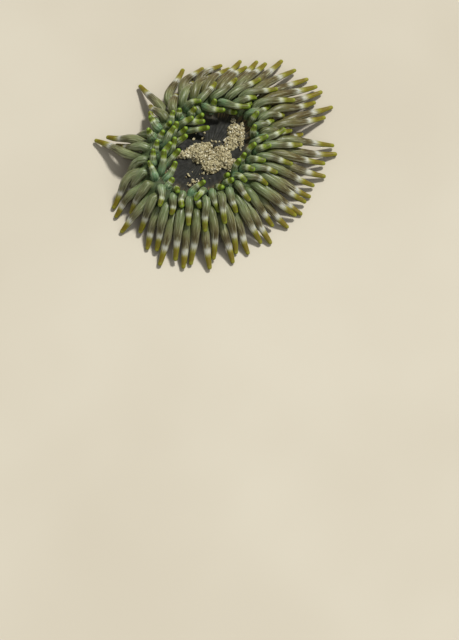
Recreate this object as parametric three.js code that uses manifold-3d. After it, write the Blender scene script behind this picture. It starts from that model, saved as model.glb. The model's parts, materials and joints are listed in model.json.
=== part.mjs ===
// A sea anemone, open, with a squat column, a bare oval oral disc and five rows of
// tentacles that arch over the margin and lie spread on the floor.
// Millimetres, +Z up. The origin is the middle of the pedal disc, on the floor.
// +X is the animal's right as seen from the front, and the front looks along +Y.
// A bearing is a direction in plan, in degrees anticlockwise from +X.

import * as THREE from 'three';
import Module from 'manifold-3d';

const wasm = await Module();
wasm.setup();

// ---- the oval body, in half lengths along and across its long way
const OVAL_TURN = 50;            // bearing of the long way
const PEDAL_LONG = 17.6;
const PEDAL_SHORT = 13.2;
const WAIST_LONG = 16.4;
const WAIST_SHORT = 12.0;
const MARGIN_LONG = 23.5;
const MARGIN_SHORT = 18.8;
const DISC_LONG = 15.5;
const DISC_SHORT = 10.6;
const LIP_LONG = 4.6;
const LIP_SHORT = 3.0;

// ---- levels above the floor
const PEDAL_TOP = 1.2;
const WAIST_LEVEL = 2.6;
const COLUMN_TOP = 3.7;
const COLLAR_TOP = 4.9;
const CROWN_FOOT = 5.2;
const RIM_LEVEL = 6.0;           // middle of the rim's rounded section
const RIM_HEIGHT = 3.5;          // from there to its crest
const DISC_EDGE = 7.4;
const DISC_MIDDLE = 6.9;
const LIP_CREST = 7.4;
const THROAT = 6.1;

// ---- cuts and sides
const CUT = 0.3;                 // gap between neighbouring pieces
const CUT_BEARING = 1.0;         // the same gap as a bearing, for the cuts across the rim
const ROUND_STEPS = 32;
const LIP_STEPS = 20;
const RIM_STEP = 12;             // degrees of bearing for one facet of the rim
const TENTACLE_SIDES = 6;
const INNER_BANDS = 3;           // lengths of flat side along a tentacle of the two inner rows
const OUTER_BANDS = 4;
const SHORTEST = 0.5;            // edges shorter than this are drawn together
const SWEEPS = 3;
const LEAST_WORTH = 0.6;         // cosine of the most that a face may turn
const LEAST_AREA = 0.002;        // twice the area of the smallest face made, in mm2

// ---- pieces of the rim: name and the bearing where each starts
const PIECES = [
  ['back_right', 5],
  ['back', 48],
  ['back_left', 90],
  ['left_back', 128],
  ['left', 158],
  ['front_left', 185],
  ['front', 230],
  ['front_right', 275],
  ['right', 320],
];
const RIM_SECTIONS = [157, 118, 80, 42, 4];   // places on the rim's section, from the oral disc out
const TUCK = 0.9;                // how far the rim draws in under the margin

// ---- how the tentacles lie: root bearing, turn from it to the tip, tip's distance
// from the middle and tip's height. Between these the values run smoothly round.
const INNER_TIPS = [
  [5, 5, 19, 11], [30, 2, 20, 10.5], [55, -10, 19.5, 10], [75, -15, 15.5, 10],
  [92, -12, 11.5, 10.5], [108, -14, 9, 11], [125, -8, 9, 12], [145, -2, 8.5, 12.5],
  [165, 0, 9, 12], [190, 3, 10, 11.5], [210, 8, 13.5, 10.5], [225, 10, 17, 10],
  [245, 8, 18, 10], [262, 8, 13, 10.5], [280, 8, 12.5, 11], [300, 4, 13, 12],
  [320, 12, 12.5, 12.5], [340, 3, 14, 12],
];
const MIDDLE_TIPS = [
  [0, 4, 28.5, 7], [25, 0, 28, 7], [45, -8, 31.5, 7], [62, -12, 31, 7],
  [78, -16, 28.5, 7.5], [95, -14, 25.5, 8], [112, -15, 22.5, 9], [130, -15, 21.5, 10],
  [150, -4, 17.5, 13], [172, 0, 17, 13.5], [188, 4, 19.5, 12.5], [203, 8, 24, 9],
  [222, 4, 24, 8.5], [242, 2, 25.5, 8], [258, 3, 27, 7], [272, 0, 27.5, 6.5],
  [286, 0, 23.5, 7.5], [300, 0, 22, 8], [315, 3, 22.5, 8], [332, 2, 22, 8.5],
  [348, 3, 25, 8],
];
const OUTER_TIPS = [
  [0, 0, 37.2, 0.8], [20, 1, 40.5, 0.8], [40, -4, 43, 1], [60, -6, 42, 1.5],
  [74, -8, 37.8, 2], [92, -12, 36.2, 1.5], [110, -16, 34.3, 1], [122, -19, 33, 2],
  [132, -14, 25, 6], [146, 0, 21.5, 8], [160, 0, 20.5, 9], [176, 6, 21.5, 8],
  [187, 13, 31, 1], [200, 9, 31.3, 0.8], [216, 5, 33.5, 0.8], [232, 5, 34.5, 0.8],
  [250, 3, 36.3, 0.8], [270, 1, 34.2, 0.8], [290, 1, 33.3, 0.8], [305, 2, 31.2, 0.8],
  [318, 5, 33.3, 0.8], [332, 1, 32.6, 0.8], [346, 0, 34, 0.8],
];

// ---- the rows, from the mouth outwards. section is the place on the rim's rounded
// section, 90 at the crest and 0 at the margin. mix shares out the three tables above.
// atTip is the thickness at the tip as a share of thick, and flat is how much flatter than
// wide the tentacles become.
const ROWS = [
  { count: 22, first: 4, section: 150, mix: [1, 0, 0], thick: 1.15, atTip: 0.62, flat: 0, share: 1, lift: 0 },
  { count: 22, first: 12, section: 128, mix: [0.5, 0.5, 0], thick: 1.2, atTip: 0.6, flat: 0, share: 1, lift: 0.5 },
  { count: 26, first: 2, section: 98, mix: [0, 1, 0], thick: 1.25, atTip: 0.52, flat: 0.12, share: 1, lift: 0 },
  { count: 30, first: 8, section: 60, mix: [0, 0, 1], thick: 1.42, atTip: 0.44, flat: 0.22, share: 0.93, lift: 1 },
  { count: 30, first: 2, section: 22, mix: [0, 0, 1], thick: 1.42, atTip: 0.44, flat: 0.22, share: 1, lift: 0 },
];

const INNER_ROWS = 2;            // rows whose tentacles stand up and nod at the tip

// ---- the few that stray from their row: row, place in it, tip's bearing, distance, height
const STRAYS = [
  [0, 1, 25, 15.9, 12], [0, 5, 80, 17, 10.5], [0, 6, 98, 16.5, 10.5], [0, 7, 95, 11, 12],
  [0, 8, 85, 7, 10.5], [0, 9, 132, 9, 12.5], [0, 10, 147, 7, 12], [0, 11, 162, 10.8, 13],
  [0, 12, 187, 8.4, 12], [0, 13, 205, 10.5, 11], [0, 14, 242, 19.4, 10.5],
  [0, 15, 266, 11.4, 11], [0, 16, 255, 20.5, 10.5], [0, 17, 290, 15.3, 10.5],
  [0, 18, 299, 12.3, 12], [0, 19, 334, 10.8, 12.5], [0, 20, 344, 11.5, 12.5],
  [0, 21, 0, 15.6, 12], [1, 4, 43, 19.5, 10.5], [1, 5, 62, 14.2, 11.5],
  [1, 7, 91, 8.7, 11.5], [1, 8, 113, 10, 13], [1, 9, 137, 11.9, 13.5],
  [1, 10, 148, 11.2, 14], [1, 11, 177, 10.8, 13.5], [1, 12, 189, 13.1, 13.5],
  [1, 13, 224, 14.3, 11], [1, 14, 250, 21.8, 10], [1, 16, 274, 22, 9],
  [1, 17, 301, 14, 12.5], [1, 21, 359, 18.7, 12], [2, 8, 91, 16.2, 11],
  [2, 9, 122, 15.5, 12], [2, 10, 129, 15.7, 12.5], [2, 11, 145, 12.8, 13.5],
  [2, 12, 159, 13.9, 13], [2, 13, 173, 15, 13], [2, 14, 184, 16.3, 13],
  [2, 15, 194, 18, 12], [2, 16, 235, 24.3, 9.5], [3, 11, 131, 26, 5],
  [3, 12, 149, 20.5, 12.5], [3, 13, 162, 18.7, 13], [3, 14, 167.5, 28.5, 2.6],
  [4, 1, 17.5, 30, 2], [4, 11, 126.5, 34.4, 1.4], [4, 12, 140, 22.5, 9],
  [4, 13, 160, 24.5, 2.5], [4, 14, 164, 31.8, 3.2], [4, 15, 165.5, 35.2, 1.2],
];

// ---- tentacle form
const STATIONS = 12;             // points along a tentacle's middle line
const ROOT_SINK = 1.2;           // how far a tentacle starts inside the rim
const ARCH = 0.36;               // share of the reach over which an end keeps its own direction
const ROOT_SHARE = 0.84;         // thickness at the root, as a share of the thickest part
const SWAY = 5;                  // degrees of chance in a tip's bearing
const BOW = 0.16;                // sideways bow by chance, as a share of the reach
const LENGTH_CHANCE = 0.18;
const HEIGHT_CHANCE = 1;
const LEAST_HEIGHT = 0.9;

// ---- the sand on the oral disc: middle, half widths, turn, and rise above the disc
const SAND_PATCHES = [
  { x: -1.6, y: -0.6, halfX: 3.9, halfY: 3.0, turn: 15, rise: 1.9 },
  { x: 4.0, y: -1.2, halfX: 3.6, halfY: 3.7, turn: -20, rise: 1.9 },
  { x: 1.0, y: -4.6, halfX: 3.0, halfY: 2.2, turn: 10, rise: 1.5 },
  { x: 7.2, y: -4.4, halfX: 2.4, halfY: 1.9, turn: 30, rise: 1.5 },
  { x: -7.4, y: -0.5, halfX: 2.7, halfY: 1.2, turn: 0, rise: 1.2 },
  { x: 6.9, y: 3.0, halfX: 2.1, halfY: 2.8, turn: -10, rise: 1.4 },
  { x: 8.0, y: 7.0, halfX: 2.2, halfY: 2.9, turn: -10, rise: 1.3 },
  { x: 10.2, y: 5.6, halfX: 0.8, halfY: 5.0, turn: -4, rise: 1.2 },
];
const SAND_SIDES = 9;
const SAND_FOOT = 6;             // level under the disc's top, where the mounds start
const SAND_EDGE = 0.8;           // height of a mound's edge above the disc

// ---- settling of the tentacles against one another and the floor
const ROUNDS = 72;
const ROOM = 0.32;               // gap kept between two tentacles
const FLOOR_ROOM = 0.25;         // gap kept under a tentacle
const PUSH = 0.3;
const STIFFNESS = 0.3;
const HOMING = 0.02;
const NEAR = 1.5;
const LOOK_EVERY = 6;

const radians = (degrees) => degrees * Math.PI / 180;
const clamp = (value, low, high) => Math.min(Math.max(value, low), high);

// The same run of chance each time, one value from 0 to 1 for each seed.
function chance(seed) {
  const value = Math.sin(seed * 12.9898 + 4.1414) * 43758.5453;
  return value - Math.floor(value);
}

// ---- the oval and the rim

// Plan point on an oval at a bearing, with the direction square out of the oval there.
function oval(bearing, longHalf, shortHalf) {
  const turn = radians(OVAL_TURN);
  const along = radians(bearing) - turn;
  const reach = longHalf * shortHalf / Math.hypot(shortHalf * Math.cos(along), longHalf * Math.sin(along));
  const outX = reach * Math.cos(along) / longHalf ** 2;
  const outY = reach * Math.sin(along) / shortHalf ** 2;
  const size = Math.hypot(outX, outY);
  return {
    x: reach * Math.cos(radians(bearing)),
    y: reach * Math.sin(radians(bearing)),
    outX: (outX * Math.cos(turn) - outY * Math.sin(turn)) / size,
    outY: (outX * Math.sin(turn) + outY * Math.cos(turn)) / size,
  };
}

// Point of the rim at a bearing and a place on its rounded section.
function rimPoint(bearing, section) {
  const share = (1 + Math.cos(radians(section))) / 2;
  const plan = oval(
    bearing,
    DISC_LONG + (MARGIN_LONG - DISC_LONG) * share,
    DISC_SHORT + (MARGIN_SHORT - DISC_SHORT) * share,
  );
  return new THREE.Vector3(plan.x, plan.y, RIM_LEVEL + RIM_HEIGHT * Math.sin(radians(section)));
}

// Direction square out of the rim at the same place.
function rimOutward(bearing, section) {
  const share = (1 + Math.cos(radians(section))) / 2;
  const plan = oval(
    bearing,
    DISC_LONG + (MARGIN_LONG - DISC_LONG) * share,
    DISC_SHORT + (MARGIN_SHORT - DISC_SHORT) * share,
  );
  const half = (MARGIN_LONG + MARGIN_SHORT - DISC_LONG - DISC_SHORT) / 4;
  const level = Math.cos(radians(section)) / half;
  const rise = Math.sin(radians(section)) / RIM_HEIGHT;
  return new THREE.Vector3(plan.outX * level, plan.outY * level, rise).normalize();
}

// Height of the body's top at a plan point, or far below outside the margin.
function bodyTop(x, y) {
  const along = Math.atan2(y, x) - radians(OVAL_TURN);
  const cos = Math.cos(along);
  const sin = Math.sin(along);
  const margin = MARGIN_LONG * MARGIN_SHORT / Math.hypot(MARGIN_SHORT * cos, MARGIN_LONG * sin);
  const disc = DISC_LONG * DISC_SHORT / Math.hypot(DISC_SHORT * cos, DISC_LONG * sin);
  const from = Math.hypot(x, y);
  if (from > margin) {
    return -99;
  }
  const across = clamp((from - (margin + disc) / 2) / ((margin - disc) / 2), -1, 1);
  return Math.max(RIM_LEVEL + RIM_HEIGHT * Math.sqrt(1 - across * across), DISC_EDGE);
}

// ---- solids from rings of points

// A closed body over rings of equal count, each end closed by a fan to its middle point.
function loft(rings, startTip, endTip) {
  const count = rings[0].length;
  const points = rings.flat();
  const faces = [];
  for (let ring = 0; ring + 1 < rings.length; ring += 1) {
    for (let side = 0; side < count; side += 1) {
      const a = ring * count + side;
      const b = ring * count + (side + 1) % count;
      faces.push(a, b, b + count, a, b + count, a + count);
    }
  }
  const last = (rings.length - 1) * count;
  const start = points.length;
  points.push(startTip ?? middle(rings[0]));
  points.push(endTip ?? middle(rings[rings.length - 1]));
  for (let side = 0; side < count; side += 1) {
    const next = (side + 1) % count;
    faces.push(start, next, side);
    faces.push(start + 1, last + side, last + next);
  }
  return solid(points, faces);
}

// A closed ring-shaped body: rings that follow one another round and meet the first again.
function closedRound(rings) {
  const count = rings[0].length;
  const faces = [];
  for (let ring = 0; ring < rings.length; ring += 1) {
    for (let side = 0; side < count; side += 1) {
      const next = (ring + 1) % rings.length;
      const a = ring * count + side;
      const b = ring * count + (side + 1) % count;
      const c = next * count + (side + 1) % count;
      const d = next * count + side;
      faces.push(a, b, c, a, c, d);
    }
  }
  return solid(rings.flat(), faces);
}

function middle(points) {
  const sum = points.reduce((total, point) => total.add(point), new THREE.Vector3());
  return sum.divideScalar(points.length);
}

// A manifold solid from points and faces, turned outward if its volume comes out negative.
function solid(points, faces) {
  const turned = volumeOf(points, faces) < 0;
  const corners = turned ? faces.map((_, at) => faces[at - at % 3 + 2 - at % 3]) : faces;
  return new wasm.Manifold(new wasm.Mesh({
    numProp: 3,
    vertProperties: new Float32Array(points.flatMap((point) => [point.x, point.y, point.z])),
    triVerts: new Uint32Array(corners),
  }));
}

function volumeOf(points, faces) {
  let volume = 0;
  for (let at = 0; at < faces.length; at += 3) {
    const [a, b, c] = [points[faces[at]], points[faces[at + 1]], points[faces[at + 2]]];
    volume += a.dot(new THREE.Vector3().crossVectors(b, c)) / 6;
  }
  return volume;
}

// Ring of points on an oval at one level.
function ovalRing(longHalf, shortHalf, level, steps = ROUND_STEPS) {
  const ring = [];
  for (let step = 0; step < steps; step += 1) {
    const angle = 2 * Math.PI * step / steps;
    const point = new THREE.Vector3(longHalf * Math.cos(angle), shortHalf * Math.sin(angle), level);
    ring.push(point.applyAxisAngle(new THREE.Vector3(0, 0, 1), radians(OVAL_TURN)));
  }
  return ring;
}

// ---- the body below the tentacles

function pedalDisc() {
  return loft([
    ovalRing(PEDAL_LONG, PEDAL_SHORT, 0),
    ovalRing(PEDAL_LONG + 0.7, PEDAL_SHORT + 0.7, 0.4),
    ovalRing(PEDAL_LONG + 0.3, PEDAL_SHORT + 0.3, PEDAL_TOP),
  ]);
}

function column() {
  return loft([
    ovalRing(PEDAL_LONG, PEDAL_SHORT, PEDAL_TOP + CUT),
    ovalRing(WAIST_LONG, WAIST_SHORT, WAIST_LEVEL),
    ovalRing(WAIST_LONG + 0.5, WAIST_SHORT + 0.5, COLUMN_TOP),
  ]);
}

function collar() {
  return loft([
    ovalRing(WAIST_LONG + 0.8, WAIST_SHORT + 0.8, COLUMN_TOP + CUT),
    ovalRing(WAIST_LONG + 2.2, WAIST_SHORT + 2.4, COLLAR_TOP - 0.5),
    ovalRing(WAIST_LONG + 3, WAIST_SHORT + 3.4, COLLAR_TOP),
  ]);
}

// The oral disc dishes from its edge towards the mouth, and leaves a hole for the lips.
function oralDisc(extra = 0) {
  const share = (1 + Math.cos(radians(RIM_SECTIONS[0]))) / 2;
  const edgeLong = DISC_LONG + (MARGIN_LONG - DISC_LONG) * share - CUT + extra;
  const edgeShort = DISC_SHORT + (MARGIN_SHORT - DISC_SHORT) * share - CUT + extra;
  return closedRound([
    ovalRing(LIP_LONG, LIP_SHORT, CROWN_FOOT - extra),
    ovalRing(edgeLong, edgeShort, CROWN_FOOT - extra),
    ovalRing(edgeLong, edgeShort, DISC_EDGE + extra),
    ovalRing((edgeLong + LIP_LONG) / 2 + 1, (edgeShort + LIP_SHORT) / 2 + 1, DISC_MIDDLE + 0.1 + extra),
    ovalRing(LIP_LONG, LIP_SHORT, DISC_MIDDLE + extra),
  ]);
}

// The lips stand a little above the disc, round a slit that ends in the throat.
function mouth() {
  return loft([
    ovalRing(LIP_LONG - CUT, LIP_SHORT - CUT, CROWN_FOOT, LIP_STEPS),
    ovalRing(LIP_LONG - CUT, LIP_SHORT - CUT, DISC_MIDDLE + 0.1, LIP_STEPS),
    ovalRing(LIP_LONG - 1, LIP_SHORT - 1, LIP_CREST, LIP_STEPS),
    ovalRing(LIP_LONG - 1.6, 0.9, LIP_CREST - 0.25, LIP_STEPS),
    ovalRing(LIP_LONG - 1.9, 0.55, THROAT, LIP_STEPS),
  ]);
}

// A low mound of sand over an oval patch of the disc.
function sandMound({ x, y, halfX, halfY, turn, rise }) {
  const edge = oval(Math.atan2(y, x) * 180 / Math.PI, DISC_LONG, DISC_SHORT);
  const bed = DISC_MIDDLE + (DISC_EDGE - DISC_MIDDLE) * (Math.hypot(x, y) / Math.hypot(edge.x, edge.y)) ** 2;
  const ring = (share, level) => Array.from({ length: SAND_SIDES }, (_, side) => {
    const angle = 2 * Math.PI * side / SAND_SIDES;
    const point = new THREE.Vector3(halfX * share * Math.cos(angle), halfY * share * Math.sin(angle), level);
    return point.applyAxisAngle(new THREE.Vector3(0, 0, 1), radians(turn)).add(new THREE.Vector3(x, y, 0));
  });
  return loft([
    ring(1, SAND_FOOT),
    ring(1, bed + SAND_EDGE),
    ring(0.55, bed + SAND_EDGE + (rise - SAND_EDGE) * 0.85),
  ], null, new THREE.Vector3(x, y, bed + rise));
}

// The heap of sand on the disc, clear of the disc, the lips, the rim and the tentacles.
function sandHeap(keepOff) {
  const overLips = loft([
    ovalRing(LIP_LONG + CUT / 2, LIP_SHORT + CUT / 2, CROWN_FOOT, LIP_STEPS),
    ovalRing(LIP_LONG + CUT / 2, LIP_SHORT + CUT / 2, DISC_MIDDLE + 0.1 + CUT, LIP_STEPS),
    ovalRing(LIP_LONG - 1 + CUT, LIP_SHORT - 1 + CUT, LIP_CREST + CUT, LIP_STEPS),
  ]);
  let heap = SAND_PATCHES.map(sandMound).reduce((whole, mound) => whole.add(mound));
  for (const shape of [oralDisc(CUT), overLips, ...keepOff]) {
    heap = heap.subtract(shape);
  }
  return withoutShortEdges(largestBody(heap));
}

// One piece of the rim between two bearings, grown outward by extra on its rounded side.
function rimPiece(fromBearing, toBearing, extra = 0) {
  const steps = Math.max(2, Math.round((toBearing - fromBearing) / RIM_STEP));
  const rings = [];
  for (let step = 0; step <= steps; step += 1) {
    const bearing = fromBearing + (toBearing - fromBearing) * step / steps;
    const ring = RIM_SECTIONS.map((section) => {
      const point = rimPoint(bearing, section);
      return point.addScaledVector(rimOutward(bearing, section), extra);
    });
    const foot = oval(bearing, 1, 1);
    const inner = ring[0];
    const outer = ring[ring.length - 1];
    ring.push(new THREE.Vector3(outer.x - TUCK * foot.outX, outer.y - TUCK * foot.outY, CROWN_FOOT - extra));
    ring.push(new THREE.Vector3(inner.x, inner.y, CROWN_FOOT - extra));
    rings.push(ring);
  }
  return loft(rings);
}

// ---- the tentacles

// A table's values at a bearing, by a smooth curve through its lines that closes on itself.
function roundTheCrown(table, bearing) {
  const count = table.length;
  const at = ((bearing % 360) + 360) % 360;
  const line = (index) => table[((index % count) + count) % count];
  const place = (index) => line(index)[0] + 360 * Math.floor(index / count);
  const here = table.findLastIndex((entry) => entry[0] <= at);
  const span = place(here + 1) - place(here);
  const u = (at - place(here)) / span;
  return [1, 2, 3].map((which) => {
    const slopeA = (line(here + 1)[which] - line(here - 1)[which]) / (place(here + 1) - place(here - 1));
    const slopeB = (line(here + 2)[which] - line(here)[which]) / (place(here + 2) - place(here));
    return (2 * u ** 3 - 3 * u ** 2 + 1) * line(here)[which]
      + (u ** 3 - 2 * u ** 2 + u) * slopeA * span
      + (3 * u ** 2 - 2 * u ** 3) * line(here + 1)[which]
      + (u ** 3 - u ** 2) * slopeB * span;
  });
}

// Thickness along a tentacle as a share of its thickest part.
function girth(share, atTip) {
  const swell = ROOT_SHARE + (1 - ROOT_SHARE) * Math.sin(clamp(share / 0.35, 0, 1) * Math.PI / 2);
  return swell * (1 - (1 - atTip) * clamp((share - 0.3) / 0.7, 0, 1) ** 1.4);
}

// Height of a tentacle's section as a share of its width.
function flattened(share, flat) {
  return 1 - flat * clamp((share - 0.2) / 0.5, 0, 1);
}

// Where each tentacle starts and where its tip would lie if it were alone.
function tentaclePlan() {
  const plan = [];
  ROWS.forEach((row, rowAt) => {
    for (let place = 0; place < row.count; place += 1) {
      const seed = plan.length + 1;
      const bearing = (row.first + 360 * place / row.count) % 360;
      const root = rimPoint(bearing, row.section);
      const outward = rimOutward(bearing, row.section);
      const values = [INNER_TIPS, MIDDLE_TIPS, OUTER_TIPS].map((table) => roundTheCrown(table, bearing));
      const mixed = [0, 1, 2].map((which) => values.reduce((sum, v, at) => sum + row.mix[at] * v[which], 0));
      const rootReach = Math.hypot(root.x, root.y);
      let tipBearing = bearing + mixed[0] + SWAY * (chance(seed + 0.37) - 0.5);
      let reach = rootReach + (mixed[1] * row.share - rootReach) * (1 + LENGTH_CHANCE * (chance(seed) - 0.5));
      let height = mixed[2] + row.lift + HEIGHT_CHANCE * (chance(seed + 0.71) - 0.5);
      const stray = STRAYS.find((entry) => entry[0] === rowAt && entry[1] === place);
      if (stray) {
        [, , tipBearing, reach, height] = stray;
      }
      const tip = new THREE.Vector3(
        reach * Math.cos(radians(tipBearing)),
        reach * Math.sin(radians(tipBearing)),
        Math.max(height, LEAST_HEIGHT),
      );
      const { thick, atTip, flat } = row;
      plan.push({ seed, row: rowAt, bearing, root, outward, tip, thick, atTip, flat });
    }
  });
  return plan;
}

// Middle line of one tentacle: out of the rim, then over towards its tip.
function middleLine(tentacle) {
  const run = new THREE.Vector3().subVectors(tentacle.tip, tentacle.root);
  const reach = run.length();
  const steep = clamp(run.z / reach, 0, 1);
  const level = new THREE.Vector3(run.x, run.y, 0).normalize();
  const arrival = level.clone().multiplyScalar(1 - 0.7 * steep);
  arrival.z = steep;
  if (tentacle.row < INNER_ROWS) {
    arrival.copy(level).multiplyScalar(0.75);
    arrival.z = 0.35;
  }
  arrival.normalize();
  const sideways = new THREE.Vector3(-level.y, level.x, 0).multiplyScalar(BOW * reach);
  const first = tentacle.root.clone().addScaledVector(tentacle.outward, ARCH * reach);
  const second = tentacle.tip.clone().addScaledVector(arrival, -ARCH * reach);
  const curve = new THREE.CubicBezierCurve3(
    tentacle.root.clone().addScaledVector(tentacle.outward, -ROOT_SINK),
    first.addScaledVector(sideways, chance(tentacle.seed + 0.19) - 0.5),
    second.addScaledVector(sideways, chance(tentacle.seed + 0.83) - 0.5),
    tentacle.tip,
  );
  const line = [];
  for (let station = 0; station < STATIONS; station += 1) {
    line.push(curve.getPoint(station / (STATIONS - 1)));
  }
  return line;
}

// Pairs of stations on different tentacles that are near enough to meet soon.
function nearPairs(stations) {
  const pairs = [];
  for (let a = 0; a < stations.length; a += 1) {
    for (let b = a + 1; b < stations.length; b += 1) {
      if (stations[a].owner !== stations[b].owner) {
        const reach = stations[a].radius + stations[b].radius + ROOM + NEAR;
        if (stations[a].at.distanceToSquared(stations[b].at) < reach * reach) {
          pairs.push([a, b]);
        }
      }
    }
  }
  return pairs;
}

// Lets the tentacles settle: they push each other apart, stay as stiff and as long as
// they are, and keep off the floor and the body. The roots stay where they grow.
function settle(tentacles) {
  const lines = tentacles.map(middleLine);
  const home = lines.map((line) => line.map((point) => point.clone()));
  const lengths = lines.map((line) => line.slice(1).map((point, at) => point.distanceTo(line[at])));
  const radii = tentacles.map(({ thick, atTip }) => home[0].map((_, at) => thick * girth(at / (STATIONS - 1), atTip)));
  const under = tentacles.map(({ flat }, owner) => radii[owner].map((r, at) => r * flattened(at / (STATIONS - 1), flat)));
  const free = home[0].map((_, at) => clamp((at - 0.6) / 3, 0, 1));
  let pairs = [];
  for (let round = 0; round < ROUNDS; round += 1) {
    const stations = lines.flatMap((line, owner) => line.map((at, k) => ({ at, owner, radius: radii[owner][k] })));
    if (round % LOOK_EVERY === 0) {
      pairs = nearPairs(stations);
    }
    const pushes = stations.map(() => new THREE.Vector3());
    for (const [a, b] of pairs) {
      const apart = new THREE.Vector3().subVectors(stations[a].at, stations[b].at);
      const distance = apart.length() + 1e-9;
      const short = stations[a].radius + stations[b].radius + ROOM - distance;
      if (short > 0) {
        apart.multiplyScalar(short / distance * PUSH);
        pushes[a].add(apart);
        pushes[b].sub(apart);
      }
    }
    lines.forEach((line, owner) => {
      const push = pushes.slice(owner * STATIONS, (owner + 1) * STATIONS);
      moveLine(line, push, home[owner], lengths[owner], radii[owner], under[owner], free);
    });
  }
  tentacles.forEach((tentacle, at) => {
    tentacle.line = lines[at];
  });
  return tentacles;
}

// One round of settling for one middle line.
function moveLine(line, push, home, lengths, radii, under, free) {
  const last = STATIONS - 1;
  const spread = push.map((own, at) => {
    if (at === 0) {
      return own.clone();
    }
    if (at === last) {
      return own.clone().multiplyScalar(0.6).addScaledVector(push[at - 1], 0.4);
    }
    return own.clone().multiplyScalar(0.5).addScaledVector(push[at - 1], 0.25).addScaledVector(push[at + 1], 0.25);
  });
  line.forEach((point, at) => point.addScaledVector(spread[at], free[at]));
  const bends = line.map((point, at) => {
    if (at === 0 || at === last) {
      return new THREE.Vector3();
    }
    return new THREE.Vector3().addVectors(line[at - 1], line[at + 1]).multiplyScalar(0.5).sub(point);
  });
  line.forEach((point, at) => {
    point.addScaledVector(bends[at], STIFFNESS * free[at]);
    const back = new THREE.Vector3().subVectors(home[at], point);
    point.addScaledVector(back, HOMING * free[at]);
  });
  for (let at = 1; at <= last; at += 1) {
    const step = new THREE.Vector3().subVectors(line[at], line[at - 1]);
    line[at].copy(line[at - 1]).addScaledVector(step, lengths[at - 1] / step.length());
  }
  line.forEach((point, at) => {
    if (free[at] > 0) {
      point.z = Math.max(point.z, under[at] + FLOOR_ROOM);
    }
    const top = bodyTop(point.x, point.y) + radii[at] * 0.9;
    if (free[at] > 0.4 && point.z < top && top > 0) {
      point.z = (point.z + top) / 2;
    }
  });
}

// The tentacle as a tapered tube of flat sides along its middle line, with a blunt tip.
function tentacleTube(tentacle, extra = 0) {
  const curve = new THREE.CatmullRomCurve3(tentacle.line, false, 'centripetal');
  const length = curve.getLength();
  const tipRadius = tentacle.thick * tentacle.atTip;
  const shoulder = 1 - 0.9 * tipRadius / length;
  const bands = tentacle.row < INNER_ROWS ? INNER_BANDS : OUTER_BANDS;
  const rings = [];
  let side = null;
  for (let band = 0; band <= bands; band += 1) {
    const share = shoulder * band / bands;
    const centre = curve.getPointAt(share);
    const along = curve.getTangentAt(share);
    if (side === null) {
      side = new THREE.Vector3(-tentacle.outward.y, tentacle.outward.x, 0).normalize();
    }
    side.addScaledVector(along, -side.dot(along)).normalize();
    const up = new THREE.Vector3().crossVectors(along, side);
    const wide = tentacle.thick * girth(share, tentacle.atTip);
    const tall = wide * flattened(share, tentacle.flat);
    const ring = [];
    for (let corner = 0; corner < TENTACLE_SIDES; corner += 1) {
      const angle = 2 * Math.PI * (corner + 0.5) / TENTACLE_SIDES;
      const point = centre.clone().addScaledVector(side, (wide + extra) * Math.cos(angle));
      ring.push(point.addScaledVector(up, (tall + extra) * Math.sin(angle)));
    }
    rings.push(ring);
  }
  const end = curve.getPointAt(1).addScaledVector(curve.getTangentAt(1), extra);
  return loft(rings, curve.getPointAt(0), end);
}

// ---- joining and cutting

// The largest of the separate bodies in a solid, which is the one that keeps its root.
function largestBody(shape) {
  const mesh = shape.getMesh();
  const owner = Array.from({ length: mesh.vertProperties.length / 3 }, (_, at) => at);
  const find = (at) => {
    let top = at;
    while (owner[top] !== top) {
      top = owner[top];
    }
    return top;
  };
  for (let at = 0; at < mesh.mergeFromVert.length; at += 1) {
    owner[find(mesh.mergeFromVert[at])] = find(mesh.mergeToVert[at]);
  }
  for (let at = 0; at < mesh.triVerts.length; at += 3) {
    owner[find(mesh.triVerts[at + 1])] = find(mesh.triVerts[at]);
    owner[find(mesh.triVerts[at + 2])] = find(mesh.triVerts[at]);
  }
  const bodies = new Map();
  for (let at = 0; at < mesh.triVerts.length; at += 3) {
    const key = find(mesh.triVerts[at]);
    bodies.set(key, [...(bodies.get(key) ?? []), ...mesh.triVerts.slice(at, at + 3)]);
  }
  if (bodies.size < 2) {
    return shape;
  }
  const points = [];
  for (let at = 0; at < mesh.vertProperties.length; at += 3) {
    points.push(new THREE.Vector3(...mesh.vertProperties.slice(at, at + 3)));
  }
  const faces = [...bodies.values()].reduce((best, next) => (volumeOf(points, next) > volumeOf(points, best) ? next : best));
  const used = [...new Set(faces)];
  const renumber = new Map(used.map((vertex, at) => [vertex, at]));
  return solid(used.map((vertex) => points[vertex]), faces.map((vertex) => renumber.get(vertex)));
}

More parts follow.
